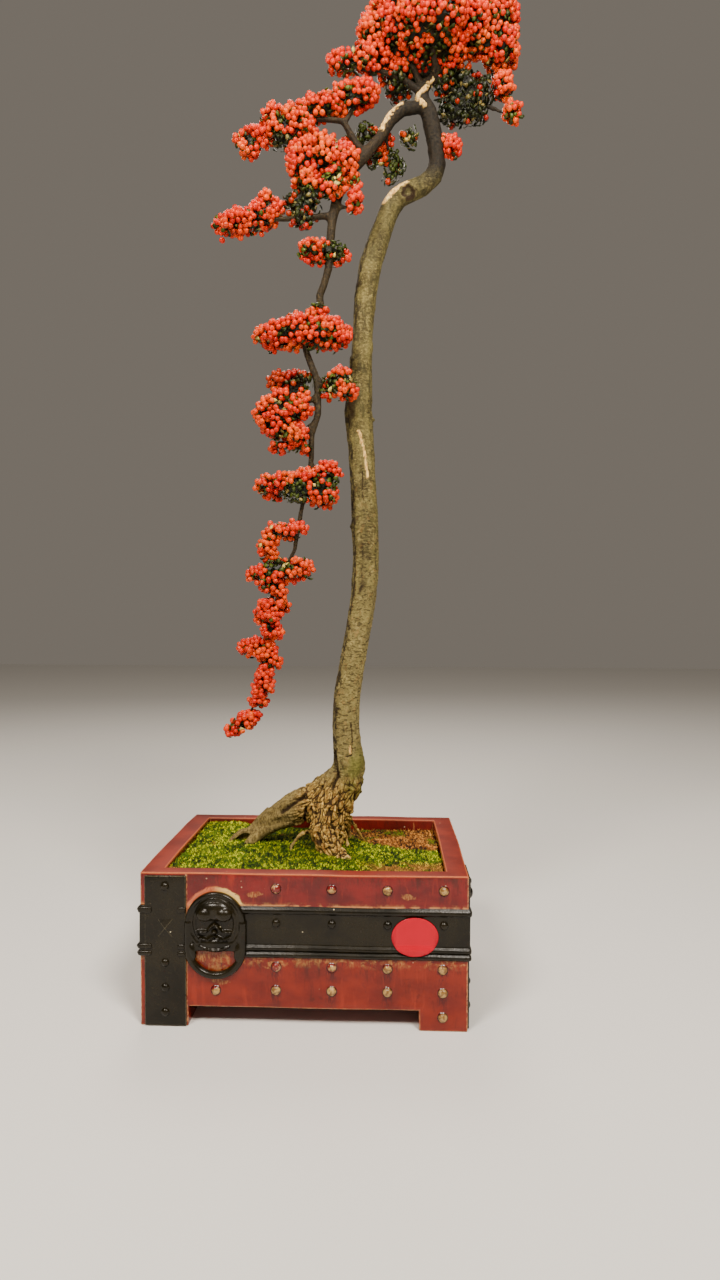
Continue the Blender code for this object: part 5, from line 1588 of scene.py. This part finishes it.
def moss_places(cushion, spacing, seed, lean, size):
    """Matrices that stand shoots or crumbs on the upper side of a cushion."""
    dice = random.Random(seed)
    spots = surface_spots([cushion.data], spacing, seed, 3.0,
                          lambda place, normal: normal[2] > STEEPEST_MOSS)
    placements = []
    for place, normal in spots:
        leaning = Vector((dice.uniform(-lean, lean), dice.uniform(-lean, lean), SHOOT_LIFT))
        scale = dice.uniform(*size)
        roll, stretch = dice.uniform(0, FULL_TURN), dice.uniform(0.8, 1.4)
        matrix = facing(place, (normal + leaning).normalized(), roll, (scale, scale, scale * stretch))
        placements.append((matrix, {"tint": dice.random()}))
    return placements


shoot, crumb = model_shoot(), model_crumb()
green_shoots = scatter("moss_green_shoots", shoot, moss_places(moss, 1.95 * MM, 11, 0.6, (0.7, 1.25)))
brown_crumbs = scatter("moss_dry_crumbs", crumb, moss_places(dry_moss, 2.7 * MM, 12, 1.5, (0.6, 1.5)))
brown_shoots = scatter("moss_dry_shoots", shoot, moss_places(dry_moss, 3.2 * MM, 13, 0.9, (0.8, 1.4)))
for template in (shoot, crumb):
    bpy.data.objects.remove(template)
for cushion in (moss, dry_moss):
    tint = cushion.data.attributes.new("tint", "FLOAT", "POINT")
    tint.data.foreach_set("value", [0.2] * len(cushion.data.vertices))
moss = join([moss, green_shoots], "moss_green_cover")
dry_moss = join([dry_moss, brown_crumbs, brown_shoots], "moss_dry_cover")
print("moss covers joined")

# %% [markdown]
# One function colours both mosses. Each shoot's own number, shifted by a slow pattern, picks a
# place between three tones, and patches of a fourth break them up. By the roots the moss is
# darker, a painted shadow of the tree, and it has died back at the front right corner.


# %% Moss finish
def moss_finish(name, dark, middle, light, patch_colour, patch_from):
    moss_mat = Finish(name, Roughness=0.75, IOR=1.25)
    tint = moss_mat.mark("tint")
    cloud = moss_mat.noise(26, 26, 26, 3)
    x, y, _ = moss_mat.axes()
    shade = (tint + (cloud - 0.5) * 1.1).least(1.0)
    colour = moss_mat.mix(shade.between(0.0, 0.5), dark, middle)
    colour = moss_mat.mix(shade.between(0.5, 1.0), colour, light)
    # Painted shadow of the tree on the moss by the roots
    painted_tree_shadow = (x - pot_x).between(-80 * MM, -50 * MM) * (x - pot_x).between(74 * MM, 34 * MM)
    painted_tree_shadow = painted_tree_shadow * y.between(-84 * MM, -56 * MM) * cloud.between(0.36, 0.5)
    colour = moss_mat.mix(painted_tree_shadow * 0.45, colour, dark)
    patch = moss_mat.noise(34, 34, 34, 3).between(*patch_from) * tint.between(0.1, 0.5)
    front_corner = (x - pot_x).between(50 * MM, 84 * MM) * y.between(-50 * MM, -68 * MM)
    front_corner = front_corner * moss_mat.noise(14, 14, 14, 3).between(0.36, 0.5)
    patch_tint = moss_mat.mix(tint.between(0.2, 0.8), moss_mat.mix(0.3, dark, patch_colour), patch_colour)
    colour = moss_mat.mix(patch.most(front_corner * 0.9), colour, patch_tint)
    moss_mat.wear(Base_Color=colour)
    return moss_mat.material


green_finish = moss_finish("moss_green", ink(14, 28, 2), ink(72, 98, 6), ink(188, 192, 30),
                           ink(176, 116, 52), (0.66, 0.76))
dry_finish = moss_finish("moss_dry", ink(36, 22, 8), ink(122, 72, 24), ink(200, 136, 62),
                         ink(96, 112, 12), (0.52, 0.62))
keep_piece(moss, ["moss_green"], green_finish)
keep_piece(dry_moss, ["moss_dry"], dry_finish)

# %% [markdown]
# A berry is a ball, slightly longer than wide, with a small dark star at its far end where the
# flower was. The ball gets few faces, because there are thousands: the fan of triangles round
# its top is inset and pushed in, and a number marks it for the shader. A leaf is a small
# rounded blade, folded along its rib, with a rim of six points and one point above and below.


# %% Berry and leaf models
BERRY_RADIUS = 3.25 * MM
BERRY_STRETCH = 1.12
EYE_BORDER = 1.2 * MM
EYE_DEPTH = 0.35 * MM
LEAF_LENGTH = 8.6 * MM
LEAF_WIDTH = 5.2 * MM
LEAF_RIM = [(0, 0), (0.36, 0.72), (0.74, 1.0), (1.0, 0), (0.74, -1.0), (0.36, -0.72)]


def model_berry():
    berry = added(bpy.ops.mesh.primitive_uv_sphere_add, segments=8, ring_count=5, radius=BERRY_RADIUS)
    edit_faces(berry, lambda centre, normal: normal.z > 0.85)
    bpy.ops.mesh.inset(thickness=EYE_BORDER)
    bpy.ops.transform.translate(value=(0, 0, -EYE_DEPTH))
    bpy.ops.object.mode_set(mode="OBJECT")
    marks = berry.data.attributes.new("eye", "FLOAT", "POINT")
    for polygon in berry.data.polygons:
        if polygon.select:
            for index in polygon.vertices:
                marks.data[index].value = 1.0
    berry.data.transform(Matrix.Diagonal((1, 1, BERRY_STRETCH, 1)))
    return berry


def model_leaf():
    leaf = added(bpy.ops.mesh.primitive_circle_add, vertices=len(LEAF_RIM), radius=LEAF_LENGTH,
                 fill_type="TRIFAN")
    rim = [vertex for vertex in leaf.data.vertices if vertex.co.length > LEAF_LENGTH / 2]
    hub = [vertex for vertex in leaf.data.vertices if vertex.co.length <= LEAF_LENGTH / 2][0]
    for vertex, (along, across) in zip(rim, LEAF_RIM):
        droop = -0.16 * LEAF_LENGTH * along * along
        vertex.co = (across * LEAF_WIDTH / 2, along * LEAF_LENGTH, droop + abs(across) * 0.5 * MM)
    hub.co = (0, 0.56 * LEAF_LENGTH, -0.5 * MM)
    only(leaf)
    bpy.ops.object.mode_set(mode="EDIT")
    bpy.ops.mesh.select_all(action="SELECT")
    bpy.ops.mesh.duplicate()
    bpy.ops.mesh.flip_normals()
    bpy.ops.object.mode_set(mode="OBJECT")
    lower = [vertex for vertex in leaf.data.vertices
             if vertex.select and (vertex.co - hub.co).length < MM / 100]
    for vertex in lower:
        if vertex.index != hub.index:
            vertex.co.z -= 0.35 * MM
    only(leaf)
    bpy.ops.object.mode_set(mode="EDIT")
    bpy.ops.mesh.select_all(action="SELECT")
    bpy.ops.mesh.remove_doubles(threshold=MM / 100)
    bpy.ops.mesh.normals_make_consistent(inside=False)
    bpy.ops.object.mode_set(mode="OBJECT")
    return leaf


berry, leaf = model_berry(), model_leaf()
print("berry with", len(berry.data.polygons), "faces and leaf with", len(leaf.data.polygons))

# %% [markdown]
# The finer sprays keep the form of the CAD sprays. For each one, its berries and leaves are
# joined with a few small balls that close the gaps to its neighbours, and a voxel Remesh makes
# one skin of them. Places are drawn at random on that skin, none too close to another. Most get
# a berry. Leaves take over in named zones, mostly underneath, and in the gaps of a slow noise.
# A spray could also be drawn berry by berry, but a skin with zones takes far fewer numbers.

# %% Where the sprays are fuller and where they are leafy
# Balls that link the sprays, in millimetres: x, y, z and three radii
LINKS = {
    "crown_top": [(86, -8, 1092, 18, 26, 22), (90, 4, 1118, 20, 34, 26), (95, 12, 1050, 19, 22, 20),
                  (150, 14, 1048, 14, 22, 16)],
    "crown_right": [(182, -4, 1096, 20, 34, 26), (182, 2, 1122, 20, 38, 26), (214, 2, 1036, 14, 16, 14)],
    "crown_left": [(60, -6, 1062, 16, 20, 16)],
    "long_tier": [(-50, -20, 982, 12, 13, 12), (-50, -18, 1000, 10, 11, 10), (-38, -20, 966, 14, 13, 10),
                  (-12, -18, 976, 17, 14, 11)],
    "long_tier_tip": [(-74, -20, 956, 13, 12, 10), (-60, -20, 970, 10, 12, 10)],
    "dome": [(-24, -24, 892, 12, 14, 12), (30, -38, 932, 22, 14, 14), (22, -40, 904, 18, 12, 16),
             (-12, -26, 876, 17, 15, 12)],
    "dome_right": [(44, -36, 912, 10, 10, 12), (47, -32, 888, 9, 10, 11)],
    "left_arm": [(-54, -24, 896, 13, 14, 9), (-42, -24, 886, 10, 14, 9), (-105, -22, 855, 4, 4, 4),
                 (-106, -22, 871, 11, 12, 9)],
    "inner_sprig": [(41, -4, 968, 13, 12, 9), (58, 2, 986, 13, 12, 12), (80, 6, 978, 12, 12, 14),
                    (92, 6, 950, 12, 13, 14), (108, 12, 984, 12, 13, 12),
                    (66, 2, 958, 10, 12, 12), (86, 2, 936, 10, 11, 12)],
    "right_sprig": [(155, 6, 974, 13, 13, 14)],
    "crown_low_right": [(158, 18, 1024, 17, 22, 20), (172, 14, 1048, 20, 24, 16),
                        (186, 12, 1014, 15, 18, 12), (192, 8, 1032, 16, 20, 16),
                        (162, 14, 1058, 14, 20, 12)],
    "heart": [(-12, -36, 690, 15, 16, 13), (-40, -34, 640, 18, 18, 14), (-14, -36, 662, 14, 15, 16),
              (-32, -32, 692, 20, 14, 9), (-18, -36, 632, 14, 14, 12)],
    "heart_foot": [(-8, -34, 616, 9, 10, 9)],
    "right_tuft": [(18, -34, 684, 11, 13, 14), (38, -34, 680, 14, 13, 12), (32, -32, 698, 13, 12, 9)],
    "small_tier": [(1, -36, 797, 4, 4, 6)],
    "wide_tier": [(7, -36, 768, 10, 12, 8)],
    "low_tier": [(-52, -32, 506, 11, 12, 10), (-50, -32, 497, 9, 10, 9)],
    "saddle": [(-50, -32, 462, 10, 12, 9), (-36, -32, 452, 9, 10, 9)],
    "tail_upper": [(-36, -32, 440, 11, 12, 10), (-44, -32, 408, 14, 14, 9)],
    "tail_middle": [(-47, -32, 376, 13, 13, 8)],
    "tail_lower": [(-60, -32, 330, 12, 12, 8)],
}
# Zones of leaves, given the same way
LEAF_ZONES = {
    "crown_top": [(98, 22, 1042, 30, 38, 20), (154, 26, 1042, 28, 38, 18), (134, 50, 1072, 60, 30, 20)],
    "crown_low_right": [(176, 14, 1012, 42, 40, 38)],
    "inner_sprig": [(52, 0, 980, 22, 18, 16), (94, 4, 944, 18, 18, 20), (108, 12, 984, 14, 16, 14),
                    (66, 0, 952, 10, 14, 12)],
    "dome": [(-6, -26, 886, 34, 36, 20), (24, -44, 908, 14, 14, 10)],
    "long_tier": [(-30, -20, 962, 40, 24, 9)],
    "long_tier_tip": [(-92, -20, 956, 10, 18, 8)],
    "heart": [(-10, -36, 688, 18, 24, 12)],
    "small_tier": [(24, -28, 838, 14, 24, 12)],
    "wide_tier": [(7, -36, 776, 12, 20, 8)],
    "fan": [(-18, -32, 566, 18, 22, 16), (18, -30, 576, 18, 20, 8)],
    "saddle": [(-46, -34, 484, 10, 20, 10)],
}
# Zones that lie in the shade of a spray above them, given the same way
SHADE_ZONES = {
    "heart": [(-26, -34, 693, 30, 30, 12)],
    "dome": [(-10, -26, 884, 34, 36, 18)],
    "long_tier": [(-30, -20, 962, 40, 24, 9)],
    "crown_top": [(98, 24, 1040, 32, 40, 20), (154, 28, 1040, 30, 40, 18)],
    "crown_top_left": [(66, 10, 1082, 26, 30, 9)],
}
# How much the crown shades a spray that hangs below it
GLOOM = {"crown_low_right": 0.85, "inner_sprig": 0.5, "right_sprig": 0.1}
# Share of places that carry leaves elsewhere
LEAFY = {"right_tuft": 0.42, "heart": 0.08, "inner_sprig": 0.45, "fan": 0.25, "heart_foot": 0.2,
         "dome_right": 0.2, "right_tip": 0.2, "saddle": 0.12, "small_tier": 0.16, "long_tier_tip": 0.1,
         "crown_low_right": 0.5}
USUAL_LEAFY = 0.0
print(len(LINKS), "sprays with links,", len(LEAF_ZONES), "with leaf zones")

# %% [markdown]
# Now the skins. Where a link only just touches a spray, the Remesh can leave a crumb of a few
# faces floating beside it, so loose parts smaller than a bunch are deleted. The skin is then
# raised over each bunch and lowered between them, because berries grow in bunches. All skins
# go into one search tree, which tells whether a place lies inside a neighbour.

# %% Skins of the sprays
SKIN_VOXEL = 3.0 * MM
SMALLEST_PART = 16 * MM
BUNCH_SIZE = 19 * MM
BUNCH_RISE = 3.6 * MM
BUNCH_LEVEL = 0.65
BUNCH_GAP = 0.16

sprays = sorted(name.removeprefix("berries_") for name in nodes if name.startswith("berries_"))


def bunch(place):
    """Berries grow in bunches: 0 between two bunches, 1 well inside one, and the bunch's middle."""
    distances, middles = noise.voronoi(place / BUNCH_SIZE)
    return smoothstep(distances[1] - distances[0], 0.0, 0.5), middles[0]


def drop_crumbs(obj, smallest):
    """Delete the loose parts of a mesh that are smaller than a length in every direction."""
    part = list(range(len(obj.data.vertices)))

    def part_of(index):
        while part[index] != index:
            part[index] = part[part[index]]
            index = part[index]
        return index

    for edge in obj.data.edges:
        part[part_of(edge.vertices[0])] = part_of(edge.vertices[1])
    corners = {}
    for vertex in obj.data.vertices:
        corners.setdefault(part_of(vertex.index), []).append(vertex.co)
    small = {index for index, places in corners.items()
             if all(max(place[axis] for place in places) - min(place[axis] for place in places)
                    < smallest for axis in range(3))}
    only(obj)
    bpy.ops.object.mode_set(mode="EDIT")
    bpy.ops.mesh.select_mode(type="VERT")
    bpy.ops.mesh.select_all(action="DESELECT")
    bpy.ops.object.mode_set(mode="OBJECT")
    for vertex in obj.data.vertices:
        vertex.select = part_of(vertex.index) in small
    bpy.ops.object.mode_set(mode="EDIT")
    bpy.ops.mesh.delete(type="VERT")
    bpy.ops.object.mode_set(mode="OBJECT")
    return len(small)


def spray_skin(name):
    """One closed skin round a spray's CAD berries and leaves and its links."""
    pieces = [copy_of(kind + name, "skin") for kind in ("berries_", "leaves_")]
    for x, y, z, wide, deep, tall in LINKS.get(name, []):
        pieces.append(added(bpy.ops.mesh.primitive_uv_sphere_add, segments=24, ring_count=12, radius=MM,
                            location=spot(x, y, z), scale=(wide, deep, tall)))
        settle(pieces[-1])
    skin = join(pieces, "skin_" + name)
    apply(skin, "REMESH", mode="VOXEL", voxel_size=SKIN_VOXEL, adaptivity=0.0)
    dropped = drop_crumbs(skin, SMALLEST_PART)
    if dropped:
        print(name, "had", dropped, "loose crumbs")
    apply(skin, "SMOOTH", factor=0.5, iterations=6)
    moves = [vertex.normal * (BUNCH_RISE * (bunch(vertex.co)[0] - BUNCH_LEVEL))
             for vertex in skin.data.vertices]
    for vertex, move in zip(skin.data.vertices, moves):
        vertex.co += move
    return skin


def one_tree(objects):
    """Several skins in one search tree, to tell what lies inside another."""
    points, triangles = [], []
    for obj in objects:
        start = len(points)
        points += [vertex.co.copy() for vertex in obj.data.vertices]
        triangles += [[start + i for i in polygon.vertices] for polygon in obj.data.polygons]
    return BVHTree.FromPolygons(points, triangles)


skins = {name: spray_skin(name) for name in sprays}
skin_tree = one_tree(skins.values())
print(len(skins), "skins")

# %% [markdown]
# A chance between 0 and 1 decides what grows at a place: a slow noise gives patches of leaves,
# and it's raised in leaf zones and underneath. Besides the places on the skin there are deeper
# ones, which fill the gaps that the eye would look through, but not where the spray is thin.


# %% Where leaves and berries grow
MARGIN = 0.5 * MM
UNDERNEATH = 0.82
THICK_ENOUGH = 1.3


def outer_spots(skin, spacing, seed, deep=0.0):
    """Places on a skin that don't lie inside another one, with the skin's direction."""
    result = []
    for place, normal in surface_spots([skin.data], spacing, seed):
        start = place + normal * 0.5 * MM
        hit, hit_normal, _, _ = skin_tree.ray_cast(start, normal)
        if hit is not None and hit_normal.dot(normal) > 0:
            continue
        thickness = skin_tree.ray_cast(place - normal * 0.5 * MM, -normal)[3]
        if thickness is None or thickness < THICK_ENOUGH * deep:
            continue
        result.append((place - normal * deep, normal))
    return result


def inside_box(place, reach):
    """A place moved so that a piece of that reach stays inside the CAD box."""
    low = cad_low + Vector((1, 1, 1)) * (reach + MARGIN)
    high = cad_high - Vector((1, 1, 1)) * (reach + MARGIN)
    return Vector([min(max(value, a), b) for value, a, b in zip(place, low, high)])


def in_zones(zones, place):
    """0 outside a list of rounded zones, 1 well inside one of them."""
    point = (place - spot(0, 0, 0)) / MM
    most = 0.0
    for x, y, z, wide, deep, tall in zones:
        away = Vector(((point.x - x) / wide, (point.y - y) / deep, (point.z - z) / tall)).length
        most = max(most, smoothstep(-away, -1.15, -0.85))
    return most


def leaf_share(name, place, normal):
    """How likely a place carries a leaf."""
    share = LEAFY.get(name, USUAL_LEAFY)
    patch = noise.noise(place / (16 * MM)) + 1.2 * (share - 0.3)
    chance = smoothstep(patch, 0.1, 0.25)
    chance = max(chance, 0.3 * smoothstep(-bunch(place)[0], -2 * BUNCH_GAP, -BUNCH_GAP))
    chance = max(chance, 0.8 * smoothstep(-normal.z, UNDERNEATH - 0.12, UNDERNEATH + 0.12))
    return max(chance, 0.9 * in_zones(LEAF_ZONES.get(name, []), place))


print("places for", len(sprays), "sprays can be drawn")

# %% [markdown]
# Each berry and leaf carries a few numbers for the finishes: its tint, how far its bunch tends to
# orange, and how deep in painted shade it sits. A spray is filled in four passes: berries and leaves
# on the skin, deep berries below them, and leaves tucked in between. A dark core, the skin drawn
# in, is painted shade that closes what is still open; a thin spray does without, because it would stick
# out.

# %% Fill one spray
BERRY_SPACING = 4.6 * MM
LEAF_SPACING = 4.6 * MM
LEAF_REACH = 0.75 * LEAF_LENGTH
DEEP_SPACING = 6.0 * MM
DEEP = 4.6 * MM
DEEP_SHADE = 0.6
FEWER_DEEP = 0.3
TUCKED_LEAF_SPACING = 7.6 * MM
TUCKED_DEPTH = 3.6 * MM
TUCKED_SHADE = 0.4
OUTER_LIFT = 0.8
TUCKED_LIFT = 0.5
YELLOW_SHARE = 0.08
CORE_VOXEL = 5.0 * MM
CORE_INSET = 6.5 * MM
THINNEST_WITH_CORE = 19 * MM


def shaded(name, place, normal, deep):
    """Painted shade: fruit and leaves on the underside, in a shaded zone, deep inside or under the crown
    get darker.
    """
    zone = in_zones(SHADE_ZONES.get(name, []), place)
    return max(deep, GLOOM.get(name, 0.0), 0.75 * zone, 0.6 * smoothstep(-normal.z, 0.6, 1.0))


def berry_marks(dice, name, place, normal, deep=0.0):
    """Colour numbers of a berry: its own tint, how much its bunch tends to orange, and its painted shade.
    """
    drift = min(1.0, max(0.0, 0.5 + 0.9 * noise.noise(bunch(place)[1] * 7.7)))
    return {"tint": dice.random(), "drift": drift, "deep": shaded(name, place, normal, deep)}


def leaf_marks(dice, name, place, normal, deep=0.0):
    """Colour numbers of a leaf: its own tint, whether it has turned yellow, and its painted shade."""
    deep = shaded(name, place, normal, deep)
    return {"tint": dice.random(), "yellow": float(dice.random() < YELLOW_SHARE), "deep": deep}


def berry_matrix(dice, place, normal):
    """A berry on a place, its eye turned roughly outwards and down."""
    lean = Vector((dice.uniform(-0.7, 0.7), dice.uniform(-0.7, 0.7), dice.uniform(-0.7, 0.4)))
    size = dice.uniform(0.86, 1.08)
    roll = dice.uniform(0, FULL_TURN)
    return facing(place, (normal + lean).normalized(), roll, (size, size, size))


def leaf_matrix(dice, place, normal, lift):
    """A leaf that lies along the skin, its tip lifted off it a little, its face turned outwards."""
    turn = normal.to_track_quat("Z", "Y").to_matrix().to_4x4()
    roll = Matrix.Rotation(dice.uniform(0, FULL_TURN), 4, "Z")
    tip = Matrix.Rotation(dice.uniform(-0.2, lift), 4, "X")
    size = dice.uniform(0.7, 1.1)
    half_back = Matrix.Translation((0, -0.4 * LEAF_LENGTH * size, 0))
    return Matrix.Translation(place) @ turn @ roll @ half_back @ tip @ Matrix.Scale(size, 4)


def shade_core(name):
    """Painted shade inside a spray: its skin, drawn in, in the darkest leaf colour."""
    core = skins[name]
    core.name = "core_" + name
    apply(core, "REMESH", mode="VOXEL", voxel_size=CORE_VOXEL, adaptivity=0.0)
    apply(core, "DISPLACE", strength=-CORE_INSET, mid_level=0.0)
    for mark, value in (("tint", 0.0), ("yellow", 0.0), ("deep", 1.0)):
        layer = core.data.attributes.new(mark, "FLOAT", "POINT")
        layer.data.foreach_set("value", [value] * len(core.data.vertices))
    return core


def fill_spray(name, seed):
    """Berries and leaves for one spray, in place of its two CAD nodes."""
    dice = random.Random(seed)
    skin = skins[name]
    berries, leaves = [], []
    for place, normal in outer_spots(skin, BERRY_SPACING, seed):
        if dice.random() > leaf_share(name, place, normal):
            centre = place + normal * dice.uniform(-2.4, 1.2) * MM
            centre = inside_box(centre, BERRY_RADIUS * 1.15 + dice.uniform(0, 3) * MM)
            berries.append((berry_matrix(dice, centre, normal), berry_marks(dice, name, centre, normal)))
    for place, normal in outer_spots(skin, LEAF_SPACING, seed + 1):
        if dice.random() < leaf_share(name, place, normal):
            centre = inside_box(place + normal * dice.uniform(-3.0, 0.5) * MM, LEAF_REACH)
            matrix = leaf_matrix(dice, centre, normal, OUTER_LIFT)
            leaves.append((matrix, leaf_marks(dice, name, centre, normal)))
    for place, normal in outer_spots(skin, DEEP_SPACING, seed + 2, DEEP):
        if dice.random() > FEWER_DEEP + leaf_share(name, place, normal):
            centre = inside_box(place, BERRY_RADIUS * 1.2)
            marks = berry_marks(dice, name, centre, normal, DEEP_SHADE)
            berries.append((berry_matrix(dice, centre, normal), marks))
    for place, normal in outer_spots(skin, TUCKED_LEAF_SPACING, seed + 3, TUCKED_DEPTH):
        centre = inside_box(place, LEAF_REACH)
        matrix = leaf_matrix(dice, centre, normal, TUCKED_LIFT)
        leaves.append((matrix, leaf_marks(dice, name, centre, normal, TUCKED_SHADE)))
    fruit = scatter("fruit_" + name, berry, berries)
    foliage = scatter("foliage_" + name, leaf, leaves)
    if min(skin.dimensions) > THINNEST_WITH_CORE:
        foliage = join([foliage, shade_core(name)], "foliage_" + name)
    else:
        print(name, "is too thin for a core")
        bpy.data.objects.remove(skin)
    return fruit, foliage, len(berries)


print("spray tools ready")

# %% [markdown]
# Berry skin is glossy and a little waxy. Its colour goes from scarlet to orange, drifts from
# cluster to cluster, and darkens to maroon in painted shade. Leaves are dark green and leathery,
# now and then yellow, and near black in painted shade. Both finishes read the numbers that each copy
# carries.


# %% Fruit and leaf finishes
def fruit_finish():
    fruit = Finish("fruit", Roughness=0.26, IOR=1.3, Subsurface_Weight=0.1)
    fruit.shader.inputs["Subsurface Radius"].default_value = (0.8, 0.2, 0.1)
    fruit.shader.inputs["Subsurface Scale"].default_value = 2 * MM
    tint, drift, deep, eye = (fruit.mark(name) for name in ("tint", "drift", "deep", "eye"))
    blush = fruit.noise(3, 3, 3, 2)
    colour = fruit.mix(tint, ink(184, 10, 0), ink(212, 50, 0))
    orange = (drift - 0.4).most(0.0) * 1.5
    colour = fruit.mix(orange * (0.4 + tint * 0.6), colour, ink(224, 94, 0))
    colour = fruit.mix(blush.between(0.5, 0.7) * 0.35, colour, ink(216, 80, 4))
    # Painted shade: maroon on the underside, deep inside and under the crown
    colour = fruit.mix(deep * 0.85, colour, ink(92, 4, 4))
    colour = fruit.mix(eye * 0.6, colour, ink(110, 40, 22))
    fruit.wear(Base_Color=colour)
    return fruit.material


def foliage_finish():
    green = Finish("foliage", Roughness=0.4, IOR=1.3)
    tint, yellow, deep = (green.mark(name) for name in ("tint", "yellow", "deep"))
    mottle = green.noise(3, 3, 3, 2)
    colour = green.mix(tint, ink(22, 32, 8), ink(72, 84, 22))
    colour = green.mix(mottle.between(0.45, 0.7) * 0.4, colour, ink(92, 104, 42))
    colour = green.mix(yellow, colour, ink(192, 172, 92))
    # Painted shade: near black on the underside, deep inside, in the core and under the crown
    colour = green.mix(deep * 0.9, colour, ink(13, 13, 5))
    green.wear(Base_Color=colour)
    return green.material


fruit_material, foliage_material = fruit_finish(), foliage_finish()

# %% Make all sprays
total_berries = 0
for spray_index, spray in enumerate(sprays):
    fruit_piece, foliage_piece, berry_count = fill_spray(spray, 100 + 10 * spray_index)
    total_berries += berry_count
    keep_piece(fruit_piece, ["berries_" + spray], fruit_material)
    keep_piece(foliage_piece, ["leaves_" + spray], foliage_material)
for template in (berry, leaf):
    bpy.data.objects.remove(template)
print("berries:", total_berries)
